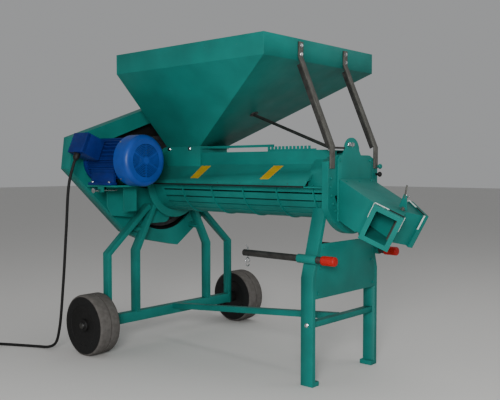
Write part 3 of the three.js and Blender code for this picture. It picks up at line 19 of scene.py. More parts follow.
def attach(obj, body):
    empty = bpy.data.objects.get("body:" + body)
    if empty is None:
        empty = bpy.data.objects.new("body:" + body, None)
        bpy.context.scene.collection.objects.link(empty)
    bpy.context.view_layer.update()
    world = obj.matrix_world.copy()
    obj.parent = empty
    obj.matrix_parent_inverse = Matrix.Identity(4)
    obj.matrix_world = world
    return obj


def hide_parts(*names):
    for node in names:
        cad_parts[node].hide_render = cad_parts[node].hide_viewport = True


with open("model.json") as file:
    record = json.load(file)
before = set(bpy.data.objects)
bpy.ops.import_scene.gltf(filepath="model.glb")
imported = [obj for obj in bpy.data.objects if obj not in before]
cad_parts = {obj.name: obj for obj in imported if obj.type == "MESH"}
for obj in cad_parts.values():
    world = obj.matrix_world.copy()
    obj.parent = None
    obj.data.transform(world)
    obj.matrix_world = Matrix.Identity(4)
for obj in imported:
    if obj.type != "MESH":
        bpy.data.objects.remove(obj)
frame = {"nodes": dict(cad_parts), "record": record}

LOG = logging.getLogger("huller")
Point = tuple[float, float, float]
Pair = tuple[float, float]
Pairs = tuple[Pair, ...]
Box = tuple[Point, Point]
Line = Sequence[Sequence[float]]
Loops = Sequence[Sequence[Pair]]
Color = tuple[float, float, float]
Shape = bmesh.types.BMesh
Ring = Sequence[bmesh.types.BMVert]
Tree = bpy.types.NodeTree
Socket = bpy.types.NodeSocket

MM = 0.001
# How far packing moved the working frame, in metres
SHIFT = Vector((0.4724815, 0.0328912, 0))
DRUM_AXIS = 950.0
MOTOR_AXIS = (0, -480, 1071)
SIDES = (-1, 1)
ENDS = (("near", -1), ("far", 1))
RIGHT = (1, 0, 0)
UP = (0, 0, 1)

# The finishes' noise: where shade turns to full tone, how far roughness strays, how fine gloss is beside the
# tone's grain, and the dust's and the chips' spots per metre
TONE_STOPS = (0.32, 0.68)
GLOSS_SPREAD = (0.8, 1.3)
GLOSS_GRAIN = 2.3
RELIEF_DEPTH = 0.0006
DRIFT_GRAIN = 9.0
CHIP_GRAIN = 130.0
CHIP_STOPS = (0.74, 0.80)


def placed(point: Sequence[float]) -> Vector:
    """Moves a working-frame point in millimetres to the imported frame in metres."""
    return Vector(point) * MM + SHIFT


class Body(str, Enum):
    """The rigid bodies that dressed pieces ride on."""

    FRAME = "frame"
    WHEEL_NEAR = "wheel_near"
    WHEEL_FAR = "wheel_far"
    GATE = "feed_gate"
    HANDLE_NEAR = "handle_near"
    HANDLE_FAR = "handle_far"
    DIVERTER = "diverter"


class Axis(Enum):
    """An axis that pieces are turned about or pushed along, as the turn that takes +Z to it."""

    X = Matrix(((0, 0, 1), (1, 0, 0), (0, 1, 0))).to_4x4()
    Y = Matrix(((0, 1, 0), (0, 0, 1), (1, 0, 0))).to_4x4()


def set_inputs(tree: Tree, node: bpy.types.Node, inputs: dict[object, object]) -> None:
    """Links each input of a node that is given a socket, and sets each that is given a value."""
    for key, value in inputs.items():
        if isinstance(value, Socket):
            tree.links.new(value, node.inputs[key])
        else:
            node.inputs[key].default_value = value


def add_node(tree: Tree, kind: str, inputs: dict[object, object], **settings: object) -> bpy.types.Node:
    """Adds a shader node.

    Args:
        tree: The material's nodes.
        kind: The node's type, without the prefix that all of them share.
        inputs: What its inputs are linked or set to, by name or number.
        **settings: Its own settings, which are made before its inputs.

    Returns:
        The new node.
    """
    node = tree.nodes.new(f"ShaderNode{kind}")
    for key, value in settings.items():
        setattr(node, key, value)
    set_inputs(tree, node, inputs)
    return node


def noise(tree: Tree, coords: Socket, scale: float, detail: float) -> Socket:
    """Adds a noise texture with so many spots per metre and finer layers, and returns it, from 0 to 1."""
    return add_node(tree, "TexNoise", {"Vector": coords, "Scale": scale, "Detail": detail}).outputs["Fac"]


@dataclass(frozen=True)
class Finish:
    """A surface finish, made once as a node material and then shared."""

    name: str
    slot: str
    color: Color
    shade: Color
    roughness: float = 0.4
    metallic: float = 0.0
    specular: float = 0.5
    grain: float = 40.0
    stretch: Point = (1, 1, 1)
    bump: float = 0.1
    bump_scale: float = 400.0
    wear: float = 0.0
    wear_color: Color = (0.30, 0.30, 0.29)
    dust: float = 0.0
    dust_color: Color = (0.20, 0.17, 0.13)

    def material(self) -> bpy.types.Material:
        """Returns the finish's material, building its nodes the first time."""
        known = bpy.data.materials.get(self.name)
        if known:
            return known
        material = bpy.data.materials.new(self.name)
        material.use_nodes = True
        tree = material.node_tree
        place = tree.nodes.new("ShaderNodeTexCoord").outputs["Object"]
        coords = add_node(tree, "Mapping", {"Vector": place, "Scale": self.stretch}).outputs["Vector"]
        tone = self._clouded(tree, coords)
        if self.dust > 0:
            tone = self._dusted(tree, place, tone)
        if self.wear > 0:
            tone = self._worn(tree, place, tone)
        low, high = GLOSS_SPREAD
        gloss = add_node(tree, "MapRange", {
            "Value": noise(tree, coords, self.grain * GLOSS_GRAIN, 3),
            "To Min": self.roughness * low, "To Max": min(self.roughness * high, 1)})
        relief = add_node(tree, "Bump", {
            "Height": noise(tree, coords, self.bump_scale, 2), "Strength": self.bump,
            "Distance": RELIEF_DEPTH})
        set_inputs(tree, tree.nodes["Principled BSDF"], {
            "Base Color": tone, "Metallic": self.metallic, "Specular IOR Level": self.specular,
            "Roughness": gloss.outputs["Result"], "Normal": relief.outputs["Normal"]})
        return material

    def _clouded(self, tree: Tree, coords: Socket) -> Socket:
        """Returns the colour, clouded between the finish's shade and its full tone."""
        ramp = add_node(tree, "ValToRGB", {"Fac": noise(tree, coords, self.grain, 4)})
        for stop, element, color in zip(TONE_STOPS, ramp.color_ramp.elements, (self.shade, self.color)):
            element.position = stop
            element.color = (*color, 1)
        return ramp.outputs["Color"]

    @staticmethod
    def _layer(tree: Tree, under: Socket, amount: Socket, color: Color) -> Socket:
        """Lays a plain colour over another where the amount says so, and returns the result."""
        inputs = {"Factor": amount, "A": under, "B": (*color, 1)}
        return add_node(tree, "Mix", inputs, data_type="RGBA").outputs["Result"]

    def _dusted(self, tree: Tree, place: Socket, tone: Socket) -> Socket:
        """Lays dust on faces that look up, in drifts, and returns the colour."""
        normal = tree.nodes.new("ShaderNodeNewGeometry").outputs["Normal"]
        drift = add_node(tree, "Math", {0: noise(tree, place, DRIFT_GRAIN, 5), 1: self.dust},
                         operation="MULTIPLY")
        upward = add_node(tree, "SeparateXYZ", {"Vector": normal}).outputs["Z"]
        amount = add_node(tree, "Math", {0: upward, 1: drift.outputs["Value"]}, operation="MULTIPLY",
                          use_clamp=True)
        return self._layer(tree, tone, amount.outputs["Value"], self.dust_color)

    def _worn(self, tree: Tree, place: Socket, tone: Socket) -> Socket:
        """Chips the coat in small spots, and returns the colour."""
        amount = add_node(tree, "MapRange", {
            "Value": noise(tree, place, CHIP_GRAIN, 6), "From Min": CHIP_STOPS[0],
            "From Max": CHIP_STOPS[1], "To Max": self.wear})
        return self._layer(tree, tone, amount.outputs["Result"], self.wear_color)


GREEN = Finish("green_enamel", "green_paint", (0.001, 0.162, 0.138), (0.001, 0.120, 0.102), 0.5,
               specular=0.22, grain=5.0, bump=0.10, bump_scale=260.0, wear=0.5, dust=0.22,
               dust_color=(0.06, 0.10, 0.085))
STAY_STEEL = Finish("stay_steel", "bare_steel", (0.100, 0.099, 0.088), (0.052, 0.050, 0.043), 0.5,
                    metallic=0.35, grain=26.0, stretch=(1, 6, 1), bump=0.2, wear=0.4,
                    wear_color=(0.08, 0.05, 0.03))
DARK_STEEL = Finish("blackened_steel", "dark_steel", (0.045, 0.044, 0.040), (0.022, 0.021, 0.020), 0.5,
                    metallic=0.5, grain=30.0, bump=0.2)
BRIGHT_STEEL = Finish("zinc_plate", "bright_steel", (0.62, 0.63, 0.64), (0.42, 0.43, 0.44), 0.24,
                      metallic=1.0, grain=60.0, bump=0.08)
IRON = Finish("grey_iron", "cast_iron", (0.050, 0.050, 0.052), (0.028, 0.028, 0.030), 0.6, metallic=0.6,
              grain=50.0, bump=0.45, bump_scale=700.0)
MOTOR_BLUE = Finish("motor_enamel", "motor_blue", (0.001, 0.015, 0.130), (0.001, 0.010, 0.095), 0.5,
                    specular=0.22, grain=20.0, bump=0.35, bump_scale=550.0, dust=0.05,
                    dust_color=(0.05, 0.06, 0.09))
COVER_BLUE = Finish("cover_blue", "fan_blue", (0.003, 0.048, 0.270), (0.002, 0.036, 0.200), 0.4,
                    specular=0.35, grain=14.0, bump=0.08)
TREAD = Finish("grey_tread", "tyre_rubber", (0.110, 0.103, 0.097), (0.080, 0.074, 0.069), 0.95,
               specular=0.08, grain=45.0, bump=0.5, bump_scale=500.0, dust=0.3,
               dust_color=(0.12, 0.11, 0.095))
BLACK_PLASTIC = Finish("moulded_black", "black_plastic", (0.0030, 0.0028, 0.0026), (0.002, 0.002, 0.002),
                       0.6, specular=0.35, grain=30.0, bump=0.35, bump_scale=900.0)
BLACK_RUBBER = Finish("cord_black", "black_rubber", (0.0040, 0.0040, 0.0040), (0.002, 0.002, 0.002), 0.7,
                      specular=0.35, grain=60.0, bump=0.3, bump_scale=900.0)
RED = Finish("grip_red", "red_grip", (0.40, 0.006, 0.003), (0.30, 0.004, 0.002), 0.5, specular=0.3,
             grain=30.0, bump=0.15, bump_scale=800.0)
YELLOW = Finish("yellow_patch", "green_paint", (0.47, 0.29, 0.010), (0.36, 0.22, 0.008), 0.5, specular=0.3,
                grain=22.0, bump=0.05)
PALE_SEAL = Finish("pale_seal", "bright_steel", (0.62, 0.68, 0.65), (0.46, 0.52, 0.49), 0.6, specular=0.3,
                   grain=60.0, bump=0.1)
FINISH_OF_SLOT: dict[str, Finish] = {
    finish.slot: finish
    for finish in (GREEN, STAY_STEEL, DARK_STEEL, BRIGHT_STEEL, IRON, MOTOR_BLUE, COVER_BLUE, TREAD,
                   BLACK_PLASTIC, BLACK_RUBBER, RED)
}


def ring_points(radius: float, count: int, start: float = 0.0) -> list[Pair]:
    """Returns points evenly round a circle, from a first angle in degrees."""
    angles = [math.radians(start) + 2 * math.pi / count * step for step in range(count)]
    return [(radius * math.cos(angle), radius * math.sin(angle)) for angle in angles]


def turn_to(direction: Sequence[float]) -> Matrix:
    """Returns the turn that takes +Z to a direction, as a 4 by 4 matrix."""
    return Vector(UP).rotation_difference(Vector(direction).normalized()).to_matrix().to_4x4()


def facing(direction: Point, seats: Iterable[Point]) -> list[tuple[Point, Point]]:
    """Returns bolts' seats, each with the one direction that their heads point in."""
    return [(seat, direction) for seat in seats]


@dataclass
class Workshop:
    """Turns shapes in working-frame millimetres into pieces that ride on the frame's bodies.

    The bolts' sizes are shares of the thread's diameter: how far out and how high each corner lies.
    """

    edge_angle: float = math.radians(38)
    tube_sides: int = 16
    washer: Pair = (1.05, 0.14)
    bolt_head: Pair = (0.92, 0.68)
    bolt_tip: Pair = (0.78, 0.80)
    bolt_step: float = math.radians(17)
    made: list[str] = field(default_factory=list)

    def finish_piece(self, name: str, shape: Shape, finish: Finish, body: Body = Body.FRAME,
                     edge: float = 0.0, replaces: Sequence[str] = ()) -> bpy.types.Object:
        """Makes an object of a shape.

        Args:
            name: The piece's name.
            shape: Its mesh, in working-frame millimetres. It is freed.
            finish: Its finish.
            body: The body that it rides on.
            edge: The width of its rounded edges, in millimetres.
            replaces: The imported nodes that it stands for.

        Returns:
            The new object.
        """
        for vertex in shape.verts:
            vertex.co = placed(vertex.co)
        bmesh.ops.recalc_face_normals(shape, faces=shape.faces)
        mesh = bpy.data.meshes.new(name)
        shape.to_mesh(mesh)
        shape.free()
        piece = bpy.data.objects.new(name, mesh)
        bpy.context.scene.collection.objects.link(piece)
        self.dress(piece, finish, edge)
        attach(piece, body.value)
        if replaces:
            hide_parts(*replaces)
        self.made.append(name)
        return piece

    def dress(self, piece: bpy.types.Object, finish: Finish, edge: float) -> None:
        """Gives an object its finish, smooth shading by angle, and edges rounded to a width."""
        mesh = piece.data
        mesh.materials.clear()
        mesh.materials.append(finish.material())
        mesh.polygons.foreach_set("use_smooth", [True] * len(mesh.polygons))
        mesh.set_sharp_from_angle(angle=self.edge_angle)
        if edge > 0:
            bevel = piece.modifiers.new("rounded_edges", "BEVEL")
            bevel.width = edge * MM
            bevel.segments = 2
            bevel.limit_method = "ANGLE"
            bevel.angle_limit = self.edge_angle
            bevel.harden_normals = True

    def turned(self, name: str, profile: Sequence[Pair], axis: Axis, centre: Point, finish: Finish,
               body: Body = Body.FRAME, segments: int = 96, replaces: Sequence[str] = ()) -> None:
        """Makes a piece by turning a profile; the rest of what it takes is as for finish_piece.

        Args:
            profile: (radius, distance) pairs, open where both ends lie on the axis and closed otherwise.
            axis: The axis that it is turned about.
            centre: The point on the axis from which distances count.
            segments: How many steps round.
        """
        shape = bmesh.new()
        add_turned(shape, profile, axis.value, centre, segments)
        self.finish_piece(name, shape, finish, body, replaces=replaces)

    def blocks(self, name: str, boxes: Iterable[Box], finish: Finish, edge: float = 0.0,
               turn: Optional[Matrix] = None) -> None:
        """Makes one piece of blocks on the frame; the rest of what it takes is as for finish_piece.

        Args:
            boxes: Each block's lowest and highest corners.
            turn: A matrix that moves them all into place.
        """
        shape = bmesh.new()
        for low, high in boxes:
            add_block(shape, low, high, turn)
        self.finish_piece(name, shape, finish, edge=edge)

    def plates(self, name: str, sheets: Iterable[Loops], axis: Axis, span: Pair,
               finish: Finish, edge: float = 0.0, replaces: Sequence[str] = ()) -> None:
        """Makes one piece of flat plates on the frame; the rest of what it takes is as for finish_piece.

        Args:
            sheets: Each plate's outline and then its holes, as for add_plate.
            axis: The axis that they are pushed along.
            span: Where they start and end on it.
        """
        shape = bmesh.new()
        for loops in sheets:
            add_plate(shape, loops, axis, span)
        self.finish_piece(name, shape, finish, edge=edge, replaces=replaces)

    def bolts(self, name: str, places: Iterable[tuple[Point, Point]], size: float, finish: Finish) -> None:
        """Makes a set of washers and hexagon heads on the frame.

        Args:
            name: The set's name.
            places: Each bolt's seat and the direction that its head points in.
            size: The thread's diameter, in millimetres.
            finish: Its finish.
        """
        shape = bmesh.new()
        corners = (self.washer, self.bolt_head, self.bolt_tip)
        (wide, low), (across, shoulder), (tip, top) = ((size * out, size * up) for out, up in corners)
        for index, (seat, direction) in enumerate(places):
            turn = turn_to(direction) @ Matrix.Rotation(self.bolt_step * index, 4, "Z")
            add_turned(shape, [(0, 0), (wide, 0), (wide, low), (0, low)], turn, seat, 20)
            head = [(0, low), (across, low), (across, shoulder), (tip, top), (0, top)]
            add_turned(shape, head, turn, seat, 6)
        self.finish_piece(name, shape, finish)

    def tube(self, name: str, points: Sequence[Point], radius: float, finish: Finish,
             replaces: Sequence[str] = ()) -> bpy.types.Object:
        """Makes a closed round tube along its centreline's points on the frame, and returns it."""
        shape = bmesh.new()
        add_tube(shape, points, radius, self.tube_sides)
        return self.finish_piece(name, shape, finish, replaces=replaces)


def add_turned(shape: Shape, profile: Sequence[Pair], turn: Matrix, centre: Sequence[float],
               segments: int) -> None:
    """Adds a turned form to a shape.

    Args:
        shape: What it is added to.
        profile: (radius, distance) pairs; open where both ends have radius zero.
        turn: The turn that takes +Z to the form's axis.
        centre: The point on the axis from which distances count.
        segments: How many steps round.
    """
    origin = Vector(centre)
    rings = []
    for radius, along in profile:
        if radius <= 0:
            rings.append([shape.verts.new(origin + turn @ Vector((0, 0, along)))] * segments)
            continue
        ring = ring_points(radius, segments)
        rings.append([shape.verts.new(origin + turn @ Vector((u, v, along))) for u, v in ring])
    is_open = profile[0][0] <= 0 and profile[-1][0] <= 0
    pairs = list(zip(rings, rings[1:]))
    if not is_open:
        pairs.append((rings[-1], rings[0]))
    for lower, upper in pairs:
        for step in range(segments):
            after = (step + 1) % segments
            corners = [lower[step], lower[after], upper[after], upper[step]]
            face = list(dict.fromkeys(corners))
            if len(face) > 2:
                shape.faces.new(face)


def add_block(shape: Shape, low: Sequence[float], high: Sequence[float],
              turn: Optional[Matrix] = None) -> None:
    """Adds a block between its lowest and highest corners to a shape, moved by a matrix if one is given."""
    middle = (Vector(low) + Vector(high)) / 2
    size = Vector(high) - Vector(low)
    matrix = Matrix.Translation(middle) @ Matrix.Diagonal((*size, 1))
    bmesh.ops.create_cube(shape, size=1.0, matrix=(turn or Matrix.Identity(4)) @ matrix)


def add_sides(shape: Shape, lower: Ring, upper: Ring) -> None:
    """Joins two rings of as many corners each with a band of faces."""
    for step in range(len(lower)):
        shape.faces.new((lower[step - 1], lower[step], upper[step], upper[step - 1]))


def add_prism(shape: Shape, base: Line, lid: Line) -> None:
    """Adds a body between two faces with as many corners each to a shape."""
    ends = [[shape.verts.new(corner) for corner in end] for end in (base, lid)]
    for end in ends:
        shape.faces.new(end)
    add_sides(shape, *ends)


def add_plate(shape: Shape, loops: Loops, axis: Axis, span: Pair) -> None:
    """Adds a flat plate with holes to a shape, pushed out along an axis.

    Args:
        shape: What it is added to.
        loops: Its outline and then its holes; along X they hold (y, z) pairs, and along Y (x, z) pairs.
        axis: The axis that it is pushed along.
        span: Where it starts and ends on that axis.
    """
    rings = []
    for at in span:
        edges = []
        for loop in loops:
            points = [(at, u, v) if axis is Axis.X else (u, at, v) for u, v in loop]
            corners = [shape.verts.new(point) for point in points]
            rings.append(corners)
            edges.extend(shape.edges.new((corners[step - 1], corners[step])) for step in range(len(corners)))
        bmesh.ops.triangle_fill(shape, edges=edges, use_beauty=True, use_dissolve=False)
    for first, second in zip(rings, rings[len(loops):]):
        add_sides(shape, first, second)


def arc(centre: Pair, radius: float, first: float, last: float, steps: int) -> list[Pair]:
    """Returns points along an arc from a first to a last angle in degrees, cut into so many steps."""
    angles = [math.radians(first + (last - first) * step / steps) for step in range(steps + 1)]
    return [(centre[0] + radius * math.cos(angle), centre[1] + radius * math.sin(angle)) for angle in angles]


def add_tube(shape: Shape, points: Line, radius: float, sides: int) -> None:
    """Adds a round tube with closed ends along a centreline to a shape, its rings kept from twisting."""
    line = [Vector(point) for point in points]
    across: Optional[Vector] = None
    rings = []
    for index, point in enumerate(line):
        ahead = line[min(index + 1, len(line) - 1)]
        behind = line[max(index - 1, 0)]
        heading = (ahead - behind).normalized()
        across = heading.orthogonal() if across is None else across - heading * across.dot(heading)
        across.normalize()
        upward = heading.cross(across)
        ring = ring_points(radius, sides)
        rings.append([shape.verts.new(point + across * u + upward * v) for u, v in ring])
    for lower, upper in zip(rings, rings[1:]):
        add_sides(shape, lower, upper)
    shape.faces.new(rings[0])
    shape.faces.new(rings[-1])


def smooth_route(points: Line, steps: int, fineness: int = 24) -> list[Vector]:
    """Returns points evenly along a centripetal curve through the given ones.

    Args:
        points: What the curve passes through.
        steps: How many equal steps it is cut into.
        fineness: How many chords measure the curve between two given points.
    """
    line = [Vector(point) for point in points]
    line = [line[0] * 2 - line[1], *line, line[-1] * 2 - line[-2]]
    fine: list[Vector] = []
    for before, start, end, after in zip(line, line[1:], line[2:], line[3:]):
        knots = [0.0]
        for first, second in ((before, start), (start, end), (end, after)):
            knots.append(knots[-1] + max((second - first).length, 1e-6) ** 0.5)
        for step in range(fineness):
            at = knots[1] + (knots[2] - knots[1]) * step / fineness
            fine.append(_knot_point((before, start, end, after), knots, at))
    fine.append(line[-2])
    lengths = [0.0]
    for first, second in zip(fine, fine[1:]):
        lengths.append(lengths[-1] + (second - first).length)
    route = []
    index = 0
    for step in range(steps + 1):
        target = lengths[-1] * step / steps
        while index < len(fine) - 2 and lengths[index + 1] < target:
            index += 1
        span = lengths[index + 1] - lengths[index]
        route.append(fine[index].lerp(fine[index + 1], min((target - lengths[index]) / span, 1)))
    return route


def _knot_point(points: Sequence[Vector], knots: Sequence[float], at: float) -> Vector:
    """Returns the point of one span of a centripetal curve at a knot value."""

    def between(first: Vector, second: Vector, low: int, high: int) -> Vector:
        """Returns the point between two others where the knot value lies between two knots."""
        return first.lerp(second, (at - knots[low]) / (knots[high] - knots[low]))

    outer = [between(points[i], points[i + 1], i, i + 1) for i in range(3)]
    inner = [between(outer[i], outer[i + 1], i, i + 2) for i in range(2)]
    return between(inner[0], inner[1], 1, 2)


@dataclass
class Studio:
    """The camera at the photograph's angle, the floor and the lights, which aim at a place in metres."""

    camera_at: Point = (2027, -2945, 1040)
    forward: Pair = (-0.664, 0.747)
    pitch: float = math.radians(2.7)
    focal_pixels: float = 713.0
    image_width: float = 500.0
    sensor_width: float = 36.0
    clip_end: float = 200.0
    floor_span: float = 60.0
    floor_color: Color = (0.62, 0.61, 0.59)
    floor_roughness: float = 0.75
    sky_color: Color = (0.80, 0.81, 0.82)
    sky_strength: float = 0.42
    lamp_aim: Point = (0, 0, 0.8)
    lamps: tuple[tuple[str, Point, float, float], ...] = (
        ("front", (2300, -3700, 1650), 1.1, 190),
        ("fill", (-2600, -5200, 2900), 3.5, 16),
        ("top", (400, 900, 4600), 3.2, 46),
        ("rim", (3800, 2600, 2400), 2.4, 24),
    )

    def build_camera(self) -> None:
        """Makes the camera and makes it the scene's own."""
        camera = bpy.data.cameras.new("camera")
        camera.sensor_width = self.sensor_width
        camera.lens = self.focal_pixels / self.image_width * self.sensor_width
        camera.clip_end = self.clip_end
        holder = bpy.data.objects.new("camera", camera)
        flat = Vector((*self.forward, 0)).normalized()
        ahead = flat * math.cos(self.pitch) - Vector(UP) * math.sin(self.pitch)
        right = flat.cross(Vector(UP)).normalized()
        upward = right.cross(ahead)
        turn = Matrix((right, upward, -ahead)).transposed().to_4x4()
        holder.matrix_world = Matrix.Translation(placed(self.camera_at)) @ turn
        bpy.context.scene.collection.objects.link(holder)
        bpy.context.scene.camera = holder

    def build_room(self) -> None:
        """Makes the pale floor and the soft lights."""
        shape = bmesh.new()
        bmesh.ops.create_grid(shape, x_segments=1, y_segments=1, size=self.floor_span / 2)
        mesh = bpy.data.meshes.new("floor")
        shape.to_mesh(mesh)
        shape.free()
        floor = bpy.data.objects.new("floor", mesh)
        floor.data.materials.append(self._floor_material())
        bpy.context.scene.collection.objects.link(floor)
        world = bpy.data.worlds.new("studio")
        world.use_nodes = True
        background = world.node_tree.nodes["Background"]
        background.inputs["Color"].default_value = (*self.sky_color, 1)
        background.inputs["Strength"].default_value = self.sky_strength
        bpy.context.scene.world = world
        for lamp in self.lamps:
            self._lamp(*lamp)

    def _floor_material(self) -> bpy.types.Material:
        """Returns the floor's plain pale finish."""
        material = bpy.data.materials.new("pale_floor")
        material.use_nodes = True
        shader = material.node_tree.nodes["Principled BSDF"]
        shader.inputs["Base Color"].default_value = (*self.floor_color, 1)
        shader.inputs["Roughness"].default_value = self.floor_roughness
        return material

    def _lamp(self, name: str, at: Point, size: float, power: float) -> None:
        """Adds a square soft light that faces the machine's middle."""
        light = bpy.data.lights.new(name, "AREA")
        light.size = size
        light.energy = power
        lamp = bpy.data.objects.new(name, light)
        aim = Vector(self.lamp_aim) - placed(at)
        lamp.matrix_world = Matrix.Translation(placed(at)) @ turn_to(-aim)
        bpy.context.scene.collection.objects.link(lamp)


@dataclass
class PowerCord:
    """The free cord: a run from the gland to the floor, a coil in two layers, and its plug.

    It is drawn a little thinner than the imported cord, so that it stays inside that.
    """

    shop: Workshop
    radius: float = 8.0
    drawn_share: float = 0.97
    clearance: float = 0.3
    climb_turns: float = 0.5
    start: Point = (-1185, -729.461, 1071.947)
    down: Point = (0, -0.390731, -0.920505)
    route: tuple[Point, ...] = (
        (-1200, -757, 955), (-1240, -752, 700), (-1300, -735, 400), (-1362, -722, 140), (-1424, -708, 48),
        (-1494, -708, 16), (-1572, -728, 8.8), (-1660, -772, 8.4), (-1777, -835, 8.4),
    )
    coil_entry: Point = (-1850, -878, 8.4)
    heading: Point = (-0.8704, -0.4924, 0)
    turns: int = 4
    mean_radius: float = 90.0
    pitch: float = 17.5
    layer_rise: float = 17.4
    tail: float = 104.0
    steps_per_turn: int = 48
    run_steps: int = 110

    def _coil_radius(self, turn: float) -> float:
        """Returns the coil's radius at a turn counted from its middle."""
        return self.mean_radius + self.pitch * (abs(turn) - self.turns / 4)

    def _coil_points(self) -> list[Vector]:
        """Returns the coil's centreline: in on the floor, half a turn's climb, and out on top of itself."""
        ahead = Vector(self.heading).normalized()
        start = Vector(self.coil_entry) + ahead * (2 * self.radius + self.clearance)
        outer = self._coil_radius(self.turns / 2)
        first = math.atan2(ahead.y, ahead.x) - math.pi / 2
        centre = start - outer * Vector((math.cos(first), math.sin(first), 0))
        points = []
        for step in range(self.turns * self.steps_per_turn + 1):
            turn = step / self.steps_per_turn - self.turns / 2
            angle = first + (turn + self.turns / 2) * 2 * math.pi
            share = min(max(turn / self.climb_turns + 0.5, 0), 1)
            climb = share * share * (3 - 2 * share) * self.layer_rise
            radius = self._coil_radius(turn)
            points.append(centre + Vector((radius * math.cos(angle), radius * math.sin(angle), climb)))
        last = (points[-1] - points[-2]).normalized()
        points.append(points[-1] + last * self.tail)
        return points

    def build(self) -> None:
        exit_point = Vector(self.start)
        lead = exit_point + Vector(self.down) * 2 * self.radius
        entry = Vector(self.coil_entry)
        before = entry - Vector(self.heading).normalized() * 2 * self.radius
        run = smooth_route([exit_point, lead, *self.route, before, entry], self.run_steps)
        line = [*run, *self._coil_points()]
        drawn = self.radius * self.drawn_share
        cord = self.shop.tube("mains_cord", line, drawn, BLACK_RUBBER, ("power_cord", "cord_coil"))


@dataclass
class Carcass:
    """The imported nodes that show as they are, each in its slot's finish with rounded edges."""

    shop: Workshop
    edges: dict[str, float] = field(default_factory=lambda: {
        "green_paint": 1.1, "bare_steel": 0.9, "dark_steel": 0.7, "bright_steel": 0.5, "cast_iron": 1,
        "motor_blue": 1.2, "fan_blue": 0.8, "tyre_rubber": 1.5, "black_plastic": 0.8, "black_rubber": 0.6,
        "red_grip": 0.8,
    })
    weld_gap: float = 0.00002
    leg_swell: float = 0.0065
    hub_side: float = 500.0
    # Nodes that are replaced or too thin to be rounded
    unbevelled: tuple[str, ...] = ("cord_coil", "power_cord", "motor_fan_cover", "handle_pin_near",
                                   "handle_pin_far", "gate_rack", "drum_cage")

    def build(self) -> None:
        """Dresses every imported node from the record's slots."""
        slots = {row["node"]: row["material_slot"] for row in frame["record"]["subparts"]}
        for name, node in frame["nodes"].items():
            slot = slots[name]
            weld = node.modifiers.new("joined_corners", "WELD")
            weld.merge_threshold = self.weld_gap
            if name.startswith("left_leg"):
                self._swell(node)
            edge = 0.0 if name in self.unbevelled else self.edges[slot]
            self.shop.dress(node, FINISH_OF_SLOT[slot], edge)
        LOG.info("dressed %d nodes", len(frame["nodes"]))

    def _swell(self, leg: bpy.types.Object) -> None:
        """Widens a leg where it stands clear of the wheel's hub."""
        clear = leg.vertex_groups.new(name="clear_of_the_hub")
        clear.add([point.index for point in leg.data.vertices
                   if abs(point.co.y - SHIFT.y) < self.hub_side * MM], 1, "REPLACE")
        swell = leg.modifiers.new("full_width", "DISPLACE")
        swell.vertex_group = clear.name
        swell.mid_level = 0.0
        swell.strength = self.leg_swell


